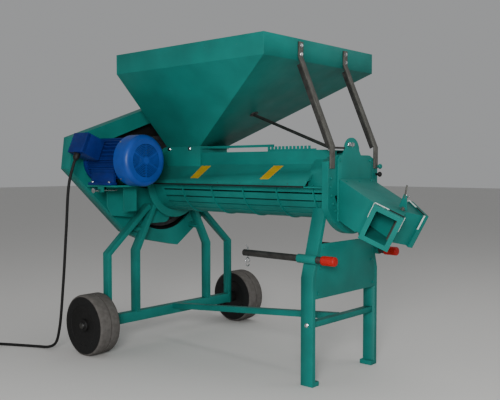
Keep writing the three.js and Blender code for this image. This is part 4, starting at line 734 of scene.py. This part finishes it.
@dataclass
class HopperTrim:
    """The hopper's small parts: rolled rim, clips, the stays' flanges in dark steel as painted shade, their
    bolts, the rack and the bar.
    """

    shop: Workshop
    rim: tuple[float, float, float, float] = (-1172, -100, 460, 1655)
    hem_inset: float = 5.0
    middle_x: float = -600.0
    stay_y: float = 190.0
    stay_top: Pair = (-99.7, 1566)
    stay_bend: Pair = (89.3, 1135)
    stay_width: float = 34.0
    flange_depth: float = 20.0
    flange_thickness: float = 6.0
    flange_ends: Pair = (34, 3)
    bolt_seat: float = 8.4
    bolt_heights: Pair = (1580, 1622)
    clip_x: Pair = (-1128, -955)
    clip_boxes: tuple[Box, ...] = (((-11, -3.2, -34), (11, -0.2, -14)),
                                   ((-7, -8.5, -28), (7, -3, -20)))
    neck_face: float = -110.0
    neck_seam: float = 1166.0
    gap: float = 0.3
    cover_top: float = 1118.0
    rack_y: Pair = (-79, -73)
    rack_span: Pair = (-396, -15)
    rack_foot_strip: Pair = (69, 4)
    rack_plain: float = 36.0
    rack_pitch: float = 24.0
    rack_height: float = 26.0
    rack_notch: float = 15.0
    gate: Box = ((-1145.5, -105.5, 1140.5), (-850, 105.5, 1145.5))
    bar_y: Pair = (-63, -57)
    bar: Pairs = ((-852, 1141), (-369, 1142), (-369, 1155.5), (-852, 1154))

    def build(self) -> None:
        """Makes the trim."""
        self._hem()
        for end, side in ENDS:
            self._shade_painted_flange(end, side)
        seats = [(self.rim[1] + self.bolt_seat, side * self.stay_y, height)
                 for side in SIDES for height in self.bolt_heights]
        self.shop.bolts("stay_head_bolts", facing(RIGHT, seats), 9, BRIGHT_STEEL)
        for index, x in enumerate(self.clip_x, 1):
            place = Matrix.Translation((x, self.neck_face, self.neck_seam))
            self.shop.blocks(f"neck_clip_{index}", self.clip_boxes, BRIGHT_STEEL, 0.8, place)
        self._rack()
        shape = bmesh.new()
        add_block(shape, *self.gate)
        add_plate(shape, [self.bar], Axis.Y, self.bar_y)
        self.shop.finish_piece("gate_and_bar", shape, GREEN, Body.GATE, 0.5, ("feed_gate",))
        LOG.info("hopper trim made")

    def _rack(self) -> None:
        """Makes the notched strip that the gate's bar is set in, with a low foot where its node stands."""
        left, right = self.rack_span
        foot = self.cover_top + self.gap
        tip = foot + self.rack_height
        root = tip - self.rack_notch
        low_length, low_height = self.rack_foot_strip
        plain = right - low_length
        edge = plain - self.rack_plain
        tooth = self.rack_pitch / 2
        outline = [(right, foot), (right, foot + low_height), (plain, foot + low_height), (plain, root),
                   (edge, root)]
        while edge > left:
            outline += [(edge, tip), (edge - tooth, tip), (edge - tooth, root), (edge - 2 * tooth, root)]
            edge -= self.rack_pitch
        outline[-2:] = [(edge + tooth, foot)]
        self.shop.plates("notched_rack", [[outline]], Axis.Y, self.rack_y, GREEN, replaces=("gate_rack",))

    def _shade_painted_flange(self, end: str, side: int) -> None:
        """Makes the inward flange of a stay's angle section, between the rim and the collar, in dark steel
        that paints the stay's shaded side.
        """
        top, foot = Vector(self.stay_top), Vector(self.stay_bend)
        ahead = (foot - top).normalized()
        inward = Vector((ahead.y, -ahead.x))
        start, stop = top + ahead * self.flange_ends[0], foot - ahead * self.flange_ends[1]
        near, far = inward * self.gap, inward * self.flange_depth
        outline = [tuple(point) for point in (start + near, stop + near, stop + far, start + far)]
        edge = side * self.stay_y - self.stay_width / 2
        # Dark steel, darker than the stay's own bare steel: painted shade for the stay's shaded side
        self.shop.plates(f"painted_shade_stay_flange_{end}", [[outline]], Axis.Y, (edge, edge + self.flange_thickness),
                         DARK_STEEL, 0.8)

    def _hem(self) -> None:
        """Makes the rolled hem just inside the rim's edge."""
        left, right, half, top = self.rim
        corners = [(left, -half), (right, -half), (right, half), (left, half)]
        inset = self.hem_inset
        shape = bmesh.new()
        for corner, following in zip(corners, [*corners[1:], corners[0]]):
            start, stop = (Vector((x - math.copysign(inset, x - self.middle_x), y - math.copysign(inset, y),
                                   top - inset)) for x, y in (corner, following))
            add_tube(shape, [start, stop], inset - self.gap, 12)
        self.shop.finish_piece("rim_hem", shape, GREEN)


@dataclass
class DrumTrim:
    """The drum's parts: cage, collar, black strips of painted shadow along the seams, bare label plates,
    bolts, knobs and the lug's rod.
    """

    shop: Workshop
    collar_face: float = 89.0
    collar_left: float = 52.0
    collar_radius: float = 240.0
    collar_half: float = 216.0
    collar_bore: float = 167.0
    shoulder_rise: float = 112.0
    shoulder_top: Pair = (145, 144)
    way_out_half: float = 48.0
    bearing_bore: float = 62.3
    end_wall_x: Pair = (-56, -53)
    cheek: Pairs = ((195, 968.5), (152, 1005.3))
    cheek_bore: float = 161.0
    plate_face: float = 98.4
    plate_bolt_y: float = 130.0
    plate_bolt_z: Pair = (965, 1070)
    lug_bolts: Pairs = ((-58, 1145), (-30, 1145))
    lug_rod: tuple[Point, ...] = ((93, -172, 1128), (93, -84, 1128))
    bolt_ring: float = 196.0
    ring_angles: range = range(-62, 14, 12)
    knobs: tuple[tuple[str, float, float, Finish], ...] = (("upper", 205, 1040, GREEN),
                                                           ("lower", 203, 1000, BLACK_PLASTIC))
    knob: Pairs = ((0, 0), (6, 0), (6, 14), (10, 15), (13, 19), (13, 25), (10, 29), (0, 30))
    seam_bolt: Pair = (205, 951.6)
    seam_bolt_x: range = range(-1120, 0, 160)
    fold: Pair = (-98, 1051)
    lip: Pair = (-195, 968)
    labels: tuple[tuple[Pair, Pair], ...] = (((-859, -786), (-871, -809)),
                                             ((-330, -266), (-360, -301)))
    label_shares: Pair = (0.10, 0.92)
    label_faces: Pair = (0.1, 0.9)
    cage_span: Pair = (-1195.7, 51.7)
    cage_radius: float = 172.0
    band_length: float = 82.0
    slat_count: int = 13
    slat_width: float = 33.0
    slat_thickness: float = 5.0
    hoops: tuple[float, ...] = (-952, -722, -492, -262, -32)
    hoop_height: float = 5.0
    hoop_half: float = 3.0
    flange_top: float = 942.0
    flange_thickness: float = 6.0
    # Where the black strips of painted shadow under the cover's lip lie, out from the collar's half width and
    # about the flanges' top
    shadow_strip_y: Pair = (0.3, 1.8)
    shadow_strip_z: Pair = (-5, 3)

    def build(self) -> None:
        """Makes the trim."""
        for index, spans in enumerate(self.labels, 1):
            self._label(f"label_plate_{index}", spans)
        across, height = self.seam_bolt
        seats = [(x, side * across, height) for side in SIDES for x in self.seam_bolt_x]
        self.shop.bolts("seam_bolts", facing(UP, seats), 5, DARK_STEEL)
        self._collar()
        self._cage()
        seats = [(self.collar_face, side * self.bolt_ring * math.cos(angle),
                  DRUM_AXIS + self.bolt_ring * math.sin(angle))
                 for side in SIDES for angle in map(math.radians, self.ring_angles)]
        self.shop.bolts("collar_bolts", facing(RIGHT, seats), 8, GREEN)
        seats = [(self.plate_face, side * self.plate_bolt_y, z) for side in SIDES for z in self.plate_bolt_z]
        self.shop.bolts("end_plate_bolts", facing(RIGHT, seats), 7, GREEN)
        seats = [(self.plate_face, y, z) for y, z in self.lug_bolts]
        self.shop.bolts("lug_bolts", facing(RIGHT, seats), 11, BRIGHT_STEEL)
        for word, y, z, finish in self.knobs:
            seat = (self.collar_face, y, z)
            self.shop.turned(f"clamp_knob_{word}", self.knob, Axis.X, seat, finish, segments=32)
        self.shop.tube("lug_rod", self.lug_rod, 5, DARK_STEEL)
        LOG.info("drum trim made")

    def _collar(self) -> None:
        """Makes the collar, with square shoulders and the nuts' way out, and the cover's end wall."""
        axis = (0, DRUM_AXIS)
        half = self.collar_half
        flat = math.degrees(math.acos(half / self.collar_radius))
        narrow, top = self.shoulder_top
        shoulders = [(half, self.shoulder_rise), (narrow, top), (-narrow, top), (-half, self.shoulder_rise)]
        outline = [*arc(axis, self.collar_radius, 180 + flat, 360 - flat, 32),
                   *((y, DRUM_AXIS + rise) for y, rise in shoulders)]
        chord = math.degrees(math.asin(self.way_out_half / self.collar_bore))
        way_out = arc(axis, self.collar_bore, 180 + chord, 360 - chord, 32)
        bearing = arc(axis, self.bearing_bore, 0, 348.75, 31)
        self.shop.plates("shouldered_collar", [[outline, way_out, bearing]], Axis.X,
                         (self.collar_left, self.collar_face), GREEN, 1.1, ("end_collar",))
        cheek = [*self.cheek, *arc(axis, self.cheek_bore, 20, 7, 6)]
        cheeks = [[[(side * y, z) for y, z in cheek]] for side in SIDES]
        self.shop.plates("cover_end_wall", cheeks, Axis.X, self.end_wall_x, GREEN)

    @staticmethod
    def _half_ring(shape: Shape, outside: float, inside: float, span: Pair) -> None:
        """Adds a half ring under the drum's axis to a shape."""
        outer, inner = (arc((0, DRUM_AXIS), radius, 180, 360, 39) for radius in (outside, inside))
        add_plate(shape, [[*outer, *reversed(inner)]], Axis.X, span)

    def _cage(self) -> None:
        """Makes the slatted cage with its hoops, left band and seam flanges, and black strips by those that
        paint the shadow under the cover's lip.
        """
        left, right = self.cage_span
        band_right = left + self.band_length
        radius, thick = self.cage_radius, self.slat_thickness
        facet = math.pi / self.slat_count
        outer = radius * math.cos(facet / 2)
        shape = bmesh.new()
        self._half_ring(shape, radius, radius - thick, (left, band_right))
        half = self.slat_width / 2
        for slat in range(self.slat_count):
            angle = math.pi / 2 + facet * (slat + 0.5)
            turn = Matrix.Translation((0, 0, DRUM_AXIS)) @ Matrix.Rotation(angle, 4, "X")
            add_block(shape, (band_right - thick, -half, outer - thick), (right, half, outer), turn)
        for x in self.hoops:
            span = (x - self.hoop_half, x + self.hoop_half)
            self._half_ring(shape, radius + self.hoop_height, radius - thick / 2, span)
        strips = []
        top = self.flange_top
        for side in SIDES:
            near, far = sorted((side * self.collar_half, side * (outer - thick)))
            add_block(shape, (left, near, top - self.flange_thickness), (right, far, top))
            # Black strips along each seam: painted shadow for the gap under the cover's lip
            near, far = sorted(side * (self.collar_half + out) for out in self.shadow_strip_y)
            low, high = self.shadow_strip_z
            strips.append(((left, near, top + low), (self.end_wall_x[0], far, top + high)))
        self.shop.finish_piece("slatted_cage", shape, GREEN, replaces=("drum_cage",))
        self.shop.blocks("painted_shadow_seam_strips", strips, BLACK_RUBBER)

    def _label(self, name: str, spans: tuple[Pair, Pair]) -> None:
        """Makes a bare yellow plate that lies on the cover's near slope."""
        slope = Vector((0, self.lip[0] - self.fold[0], self.lip[1] - self.fold[1]))
        out = Vector((0, slope.z, -slope.y)).normalized()
        upper, lower = ([Vector((x, *self.fold)) + slope * share for x in span]
                        for share, span in zip(self.label_shares, spans))
        corners = [*upper, *reversed(lower)]
        shape = bmesh.new()
        add_prism(shape, *([corner + out * rise for corner in corners] for rise in self.label_faces))
        self.shop.finish_piece(name, shape, YELLOW)


@dataclass
class MotorTrim:
    """The motor's small parts: its grille cover, bare plate, lid, screws and foot bolts."""

    shop: Workshop
    cover_radius: float = 138.0
    cover_left: float = -1004.0
    cover_right: float = -900.0
    rounding: float = 26.0
    rounding_steps: int = 8
    sheet: float = 3.0
    grille: float = 88.0
    ring_count: int = 8
    ring_pitch: float = 8.2
    ring_width: float = 4.4
    hub: float = 20.0
    spoke_count: int = 6
    spoke: tuple[float, float, float] = (2.2, 18, 89)
    screw_inset: float = 14.0
    lid: Box = ((-1249, -56, 226), (-1121, 56, 249.8))
    lid_angle: float = math.radians(67)
    plate: Box = ((-1089, -26, 127), (-1017, 26, 128.6))
    plate_angle: float = math.radians(150)
    foot_x: Pair = (-1212, -1064)
    foot_reach: float = 118.0

    def build(self) -> None:
        """Makes the trim."""
        self._fan_cover()
        axis = Vector(MOTOR_AXIS)
        screws = [(axis + Vector((self.cover_left + self.screw_inset, y, z)), (0, y, z))
                  for y, z in ring_points(self.cover_radius + 0.1, 4, 45)]
        self.shop.bolts("fan_cover_screws", screws, 4.5, BRIGHT_STEEL)
        for name, box, angle, finish, edge in (
                ("terminal_lid", self.lid, self.lid_angle, MOTOR_BLUE, 3),
                ("rating_plate_bare", self.plate, self.plate_angle, BRIGHT_STEEL, 0.3)):
            turn = Matrix.Translation(axis) @ Matrix.Rotation(angle, 4, "X")
            self.shop.blocks(name, [box], finish, edge, turn)
        seats = [axis + Vector((x, side * self.foot_reach, -self.foot_reach))
                 for x in self.foot_x for side in SIDES]
        self.shop.bolts("motor_foot_bolts", facing(UP, seats), 9, BRIGHT_STEEL)
        LOG.info("motor trim made")

    def _fan_cover(self) -> None:
        """Makes the pressed fan cover with a grille of rings and spokes in its end."""
        left, right = self.cover_left, self.cover_right
        flat, face = self.cover_radius - self.rounding, right - self.sheet
        outer = [(self.cover_radius, left)]
        for step in range(self.rounding_steps + 1):
            angle = math.pi / 2 * step / self.rounding_steps
            outer.append((flat + self.rounding * math.cos(angle),
                          right - self.rounding + self.rounding * math.sin(angle)))
        middle = len(outer) // 2
        inner = [*((radius - self.sheet, along) for radius, along in outer[:middle]),
                 *((radius, along - self.sheet) for radius, along in outer[middle:])]
        forms = [([*outer, *reversed(inner)], 96), (self._ring(self.grille, flat - 0.5, face, right), 96)]
        for index in range(self.ring_count):
            edge = self.grille - 4.0 - index * self.ring_pitch
            forms.append((self._ring(edge - self.ring_width, edge, face + 0.6, right - 0.4), 72))
        forms.append((self._ring(0, self.hub, face, right), 48))
        shape = bmesh.new()
        for profile, segments in forms:
            add_turned(shape, profile, Axis.X.value, MOTOR_AXIS, segments)
        half, start, stop = self.spoke
        for index in range(self.spoke_count):
            angle = 2 * math.pi * index / self.spoke_count
            turn = Matrix.Translation(MOTOR_AXIS) @ Matrix.Rotation(angle, 4, "X")
            add_block(shape, (face + 0.2, -half, start), (right - 0.7, half, stop), turn)
        self.shop.finish_piece("fan_grille_cover", shape, COVER_BLUE, replaces=("motor_fan_cover",))

    @staticmethod
    def _ring(inside: float, outside: float, low: float, high: float) -> list[Pair]:
        """Returns the profile of a flat ring, or of a disc where its inside is zero."""
        return [(inside, low), (outside, low), (outside, high), (inside, high)]


@dataclass
class WheelSet:
    """The two wheels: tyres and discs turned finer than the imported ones, and the axle's bright caps."""

    shop: Workshop
    axle_x: float = -1228.8
    height: float = 168.0
    outer_y: float = 662.0
    width: float = 133.0
    radius: float = 168.0
    wall_inset: float = 11.0
    groove: tuple[float, float, float] = (69.16, 3.5, 7)
    disc_radius: float = 108.0
    fit: float = 0.3
    hub_radius: float = 34.0
    bore: float = 15.6
    dish: float = 16.0
    hub_length: float = 156.4
    cap: Pairs = ((0, 0), (15.2, 0), (15.2, 6.8), (11.5, 10.2), (0, 10.8))
    cap_stand_off: float = 1.0

    def build(self) -> None:
        """Makes both wheels."""
        for (end, side), body in zip(ENDS, (Body.WHEEL_NEAR, Body.WHEEL_FAR)):
            self._tyre(end, side, body)
            self._disc(end, side, body)
            centre = (self.axle_x, side * (self.outer_y + self.cap_stand_off), self.height)
            shape = bmesh.new()
            add_turned(shape, self.cap, turn_to((0, side, 0)), centre, 48)
            self.shop.finish_piece(f"axle_cap_{end}", shape, BRIGHT_STEEL)
        LOG.info("wheels made")

    def _wheel_part(self, name: str, profile: Sequence[Pair], side: int, finish: Finish, body: Body,
                    segments: int, replaces: Sequence[str] = ()) -> None:
        """Turns a part of a wheel, from (radius, depth) pairs that count inwards from its outer face."""
        along = [(radius, side * (self.outer_y - depth)) for radius, depth in profile]
        centre = (self.axle_x, 0, self.height)
        self.shop.turned(name, along, Axis.Y, centre, finish, body, segments, replaces)

    def _tyre(self, end: str, side: int, body: Body) -> None:
        """Makes a tyre: black walls, and a smooth grey tread with one groove round its middle."""
        bore, outer, width = self.disc_radius + self.fit, self.radius, self.width
        groove, mouth, depth = self.groove
        tread = [(outer - 26, 4), (outer - 9, 3), (outer - 3, 7), (outer, 16),
                 (outer, groove - mouth), (outer - depth, groove - mouth + 1),
                 (outer - depth, groove + mouth - 1), (outer, groove + mouth),
                 (outer, width - 16), (outer - 3, width - 7), (outer - 9, width - 3),
                 (outer - 26, width - 4)]
        brim = outer - self.wall_inset
        wall = [(bore, 3), (bore + 2, 1), (outer - 30, 0), (brim, 2.4), (brim, width - 2.4),
                (outer - 30, width), (bore + 2, width - 1), (bore, width - 3)]
        self._wheel_part(f"tread_{end}", tread, side, TREAD, body, 128, (f"wheel_tyre_{end}",))
        self._wheel_part(f"tyre_wall_{end}", wall, side, BLACK_RUBBER, body, 96)

    def _disc(self, end: str, side: int, body: Body) -> None:
        """Makes a black disc, dished between its hub and its rim."""
        width, dish, outer, hub = self.width, self.dish, self.disc_radius, self.hub_radius
        disc = [(self.bore, 1), (self.bore + 2, 0), (hub - 3, 0), (hub, 3),
                (hub + 1, dish - 4), (outer - dish - 6, dish - 6), (outer - 6, 3), (outer, 3),
                (outer, width - 4), (outer - 6, width - 5), (outer - dish, width - dish),
                (hub, width - dish), (hub, self.hub_length), (self.bore, self.hub_length)]
        self._wheel_part(f"dished_disc_{end}", disc, side, BLACK_PLASTIC, body, 96, (f"wheel_disc_{end}",))


@dataclass
class ChassisTrim:
    """The guard's back plate and a black sheet of painted shade inside it, the motor's shelf, bolts, and the
    handles' grips and clips.
    """

    shop: Workshop
    leg_face: float = 51.7
    panel_bolts: Pairs = ((196, 655), (225, 560), (240, 440))
    crossbar_bolt: Point = (16.7, 282, 291)
    guard_left: float = -1395.0
    guard_right: float = -1310.0
    guard_bolts: Pairs = ((-610, 1160), (-640, 1040), (-280, 690), (90, 590),
                                     (370, 900), (330, 1230), (-60, 1370))
    foot_reach: Pair = (678, 405)
    foot_shares: Pairs = ((-0.968, 0.62), (-1, 0.19), (-0.42, -0.736), (-0.232, -0.862),
                                     (0.171, -1))
    crown_centre: Pair = (0, 985)
    crown_radius: float = 428.0
    plate_thickness: float = 4.0
    opening_left: Pairs = ((-560, 1128), (-560, 1050), (-478, 955), (-400, 858))
    opening_radius: float = 300.0
    opening_top: Pairs = ((60, 1322), (-98, 1304), (-276, 1240), (-480, 1166))
    # Where the black sheet of painted shade inside the guard lies: its middle, how much wider than the
    # opening it is, and its depth inside the outer wall
    shade_sheet_middle: Pair = (-120, 1000)
    shade_sheet_share: float = 1.10
    shade_sheet_depths: Pair = (4.3, 5)
    bracket_x: Pair = (-1259.6, -1251.6)
    bracket_left: Pairs = ((-470, 929), (-470, 815), (-438, 760), (-274, 741),
                                      (-231, 700))
    bracket_corner: Pair = (-46, 746)
    bracket_rounding: float = 46.0
    bracket_right: Pairs = ((0, 888), (-340, 929))
    shelf: tuple[Box, ...] = (((-1259.6, -600, 928.7), (-1012, -360, 938.7)),
                              ((-1157, -606, 900), (-1115, -594, 929)),
                              ((-1110, -470, 790), (-1104, -380, 929)))
    handle_y: float = 275.6
    handle_height: float = 605.0
    handle_right: float = 150.0
    clip_x: float = -361.0
    clip_drop: float = 46.0
    clip_ring: Pair = (15, 22)
    clip_wire: float = 2.6
    pin_head: Pairs = ((0, 17), (-3, 27), (-12, 40))
    grip_span: Pair = (-48, 26)
    grip_radius: float = 22.0
    grip_bore: float = 16.8
    rib_count: int = 6
    rib_pitch: float = 8.5
    rib_start: float = 10.0
    rib_depth: float = 1.6

    def build(self) -> None:
        """Makes the trim."""
        seats = [(self.leg_face, side * y, z) for side in SIDES for y, z in self.panel_bolts]
        self.shop.bolts("panel_bolts", facing(RIGHT, seats), 7, GREEN)
        x, y, z = self.crossbar_bolt
        places = [((x, side * y, z), (0, side, 0)) for side in SIDES]
        self.shop.bolts("crossbar_bolts", places, 10, BRIGHT_STEEL)
        seats = [(self.guard_left, y, z) for y, z in self.guard_bolts]
        self.shop.bolts("guard_bolts", facing((-1, 0, 0), seats), 8, DARK_STEEL)
        self._back_plate()
        self._bracket()
        for (end, side), body in zip(ENDS, (Body.HANDLE_NEAR, Body.HANDLE_FAR)):
            self._grip(end, side, body)
            self._clip(end, side, body)
        LOG.info("chassis trim made")

    def _back_plate(self) -> None:
        """Makes the guard's back plate, opened round the belts and shafts, and a black sheet behind it that
        paints the shade inside the guard.
        """
        reach, drop = self.foot_reach
        foot = [(reach * across, DRUM_AXIS + drop * down) for across, down in self.foot_shares]
        outline = [*foot, *arc(self.crown_centre, self.crown_radius, -50, 99, 48)]
        opening = [*self.opening_left, *arc((0, DRUM_AXIS), self.opening_radius, 200, 420, 44),
                   *self.opening_top]
        self.shop.plates("opened_back_plate", [[outline, opening]], Axis.X,
                         (self.guard_right - self.plate_thickness, self.guard_right), GREEN, 0.8,
                         ("guard_back_plate",))
        # A black sheet just inside the guard's outer wall: painted shade, so the guard looks dark inside
        # through its opening
        middle = Vector(self.shade_sheet_middle)
        shade_sheet = [tuple(middle + (Vector(point) - middle) * self.shade_sheet_share) for point in opening]
        near, far = self.shade_sheet_depths
        self.shop.plates("painted_shade_guard_sheet", [[shade_sheet]], Axis.X, (self.guard_left + near, self.guard_left + far),
                         BLACK_RUBBER)

    def _bracket(self) -> None:
        """Makes the motor's bracket: a shelf, and a plate that runs down and across behind the legs."""
        corner = arc(self.bracket_corner, self.bracket_rounding, -90, 0, 8)
        shape = bmesh.new()
        add_plate(shape, [[*self.bracket_left, *corner, *self.bracket_right]], Axis.X, self.bracket_x)
        for box in self.shelf:
            add_block(shape, *box)
        self.shop.finish_piece("motor_shelf", shape, GREEN, edge=0.8, replaces=("motor_bracket",))

    def _clip(self, end: str, side: int, body: Body) -> None:
        """Makes the bright hanging clip and the bent pin head at a handle's inner end."""
        x, y, z = self.clip_x, side * self.handle_y, self.handle_height
        wide, high = self.clip_ring
        ring = [(x, y + wide * math.cos(angle), z - self.clip_drop + high * math.sin(angle))
                for angle in (2 * math.pi * step / 20 for step in range(19))]
        shape = bmesh.new()
        for points in (ring, [(x + ahead, y, z + rise) for ahead, rise in self.pin_head]):
            add_tube(shape, points, self.clip_wire, 10)
        self.shop.finish_piece(f"pin_clip_{end}", shape, BRIGHT_STEEL, body)

    def _grip(self, end: str, side: int, body: Body) -> None:
        """Makes a ribbed grip with a rounded end over a handle's tube."""
        left, right = (self.handle_right + reach for reach in self.grip_span)
        radius, root, cap = self.grip_radius, self.grip_radius - self.rib_depth, self.handle_right + 0.3
        profile = [(0, cap), (self.grip_bore, cap), (self.grip_bore, left), (radius - 1.5, left),
                   (radius, left + 2)]
        for rib in range(self.rib_count):
            start = left + self.rib_start + rib * self.rib_pitch
            profile += [(radius, start), (root, start + 1.4), (root, start + 3.4), (radius, start + 4.8)]
        profile += [(radius, right - 6), (radius - 2, right - 2), (radius - 6, right), (0, right)]
        centre = (0, side * self.handle_y, self.handle_height)
        self.shop.turned(f"ribbed_grip_{end}", profile, Axis.X, centre, RED, body, 48,
                         (f"handle_grip_{end}",))


@dataclass
class ChuteTrim:
    """The chute's small parts: sealing strips and lips on the spouts, the diverter, and the chute's bolts."""

    shop: Workshop
    origin: Point = (98.6, 0, 980)
    slope: float = math.radians(28.7)
    fork: float = math.radians(65)
    lip: Pair = (236.92, -151.69)
    spout_width: float = 136.0
    fork_depth: float = 166.0
    strip_half: float = 4.0
    side_strip_share: float = 0.42
    frame_length: float = 26.0
    lip_thickness: float = 2.0
    lip_width: float = 17.0
    flap_pivot: float = 296.25
    flap_length: float = 165.0
    flap_half: float = 3.0
    pin_radius: float = 9.0
    pin_top: float = 15.0
    rod: Pairs = ((-17, 52), (-36, 112))
    lever: Pairs = ((-24, 6.8), (24, 6.8), (-15, 70), (-29, 70))
    wing_seat: Point = (-14, 6, 58)
    wing: Box = ((-4, -1.2, 2), (4, 1.2, 20))
    wing_lean: float = 35.0
    bolt_x: float = 24.0
    bolt_y: tuple[float, ...] = (-110, 0, 110)

    def build(self) -> None:
        """Makes the trim."""
        turn = Matrix.Translation(self.origin) @ Matrix.Rotation(self.slope, 4, "Y")
        across = Vector((math.sin(self.fork), math.cos(self.fork), 0))
        middle = Vector((*self.lip, 0)) + across * self.spout_width / 2
        spout = Matrix.Translation(middle) @ Matrix.Rotation(-self.fork, 4, "Z")
        for end, side in (("near", 1), ("far", -1)):
            self._spout(end, turn @ Matrix.Diagonal((1, side, 1, 1)) @ spout)
        self._diverter(turn)
        seats = [tuple(turn @ Vector((self.bolt_x, y, 0.2))) for y in self.bolt_y]
        self.shop.bolts("chute_top_bolts", facing(tuple(turn.to_3x3() @ Vector(UP)), seats), 6, GREEN)
        LOG.info("chute trim made")

    def _spout(self, end: str, place: Matrix) -> None:
        """Makes a spout's strips and lip, moved by a matrix from the spout's own plane to the machine."""
        half, depth, thin = self.spout_width / 2, self.fork_depth, self.strip_half
        foot = -depth * self.side_strip_share
        for word, low, high, finish in (
                ("pale", (-half - 5.5, 6.2), (-half * 0.05, 9.4), PALE_SEAL),
                ("dark", (-half * 0.02, 6.2), (half + 5.5, 9.2), BLACK_RUBBER),
                ("pale_side", (-half - 9.4, foot), (-half - 6.2, 6), PALE_SEAL),
                ("pale_far_side", (half + 6.2, foot), (half + 9.4, 6), PALE_SEAL)):
            box = ((-thin, *low), (thin, *high))
            self.shop.blocks(f"spout_strip_{word}_{end}", [box], finish, 0.6, place)
        outer, inner = self.frame_length, self.frame_length - self.lip_thickness
        wide = self.lip_width
        sides = (((-half, -wide), (half, 0)), ((-half, -depth), (half, wide - depth)),
                 ((-half, wide - depth), (wide - half, -wide)), ((half - wide, wide - depth), (half, -wide)))
        boxes = [((inner, *low), (outer, *high)) for low, high in sides]
        self.shop.blocks(f"spout_lip_{end}", boxes, GREEN, turn=place)

    def _diverter(self, turn: Matrix) -> None:
        """Makes the flap, its pin, and the lever with its wing nut, moved from the chute's plane."""
        pivot, thin, floor = self.flap_pivot, self.flap_half, 3.3 - self.fork_depth
        pin = [(0, floor), (self.pin_radius, floor), (self.pin_radius, self.pin_top), (0, self.pin_top)]
        shape = bmesh.new()
        add_turned(shape, pin, turn.to_3x3().to_4x4(), turn @ Vector((pivot, 0, 0)), 32)
        add_tube(shape, [turn @ Vector((pivot + ahead, 0, rise)) for ahead, rise in self.rod], 4, 16)
        self.shop.finish_piece("flap_pin_and_rod", shape, STAY_STEEL, Body.DIVERTER,
                               replaces=("diverter_flap",))
        shape = bmesh.new()
        add_block(shape, (pivot - self.flap_length, -thin, floor + 6), (pivot - 8, thin, -9), turn)
        add_prism(shape, *([turn @ Vector((pivot + ahead, y, rise)) for ahead, rise in self.lever]
                           for y in (-thin, thin)))
        self.shop.finish_piece("flap_and_lever", shape, GREEN, Body.DIVERTER, 0.8)
        shape = bmesh.new()
        seat = turn @ Matrix.Translation(Vector(self.wing_seat) + Vector((pivot, 0, 0)))
        for side in SIDES:
            lean = Matrix.Rotation(math.radians(side * self.wing_lean), 4, "Y")
            add_block(shape, *self.wing, seat @ lean)
        self.shop.finish_piece("lever_wing_nut", shape, BRIGHT_STEEL, Body.DIVERTER, 0.5)


def main() -> None:
    """Builds the camera, the cord and the sub-assemblies in order, and reports each one."""
    logging.basicConfig(level=logging.INFO, format="%(name)s: %(message)s")
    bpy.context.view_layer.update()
    shop = Workshop()
    studio = Studio()
    studio.build_camera()
    Carcass(shop).build()
    PowerCord(shop).build()
    studio.build_room()
    for part in (HopperTrim(shop), DrumTrim(shop), MotorTrim(shop), WheelSet(shop), ChassisTrim(shop),
                 ChuteTrim(shop)):
        part.build()
    LOG.info("made %d pieces: %s", len(shop.made), ", ".join(shop.made))


if __name__ == "__main__":
    main()
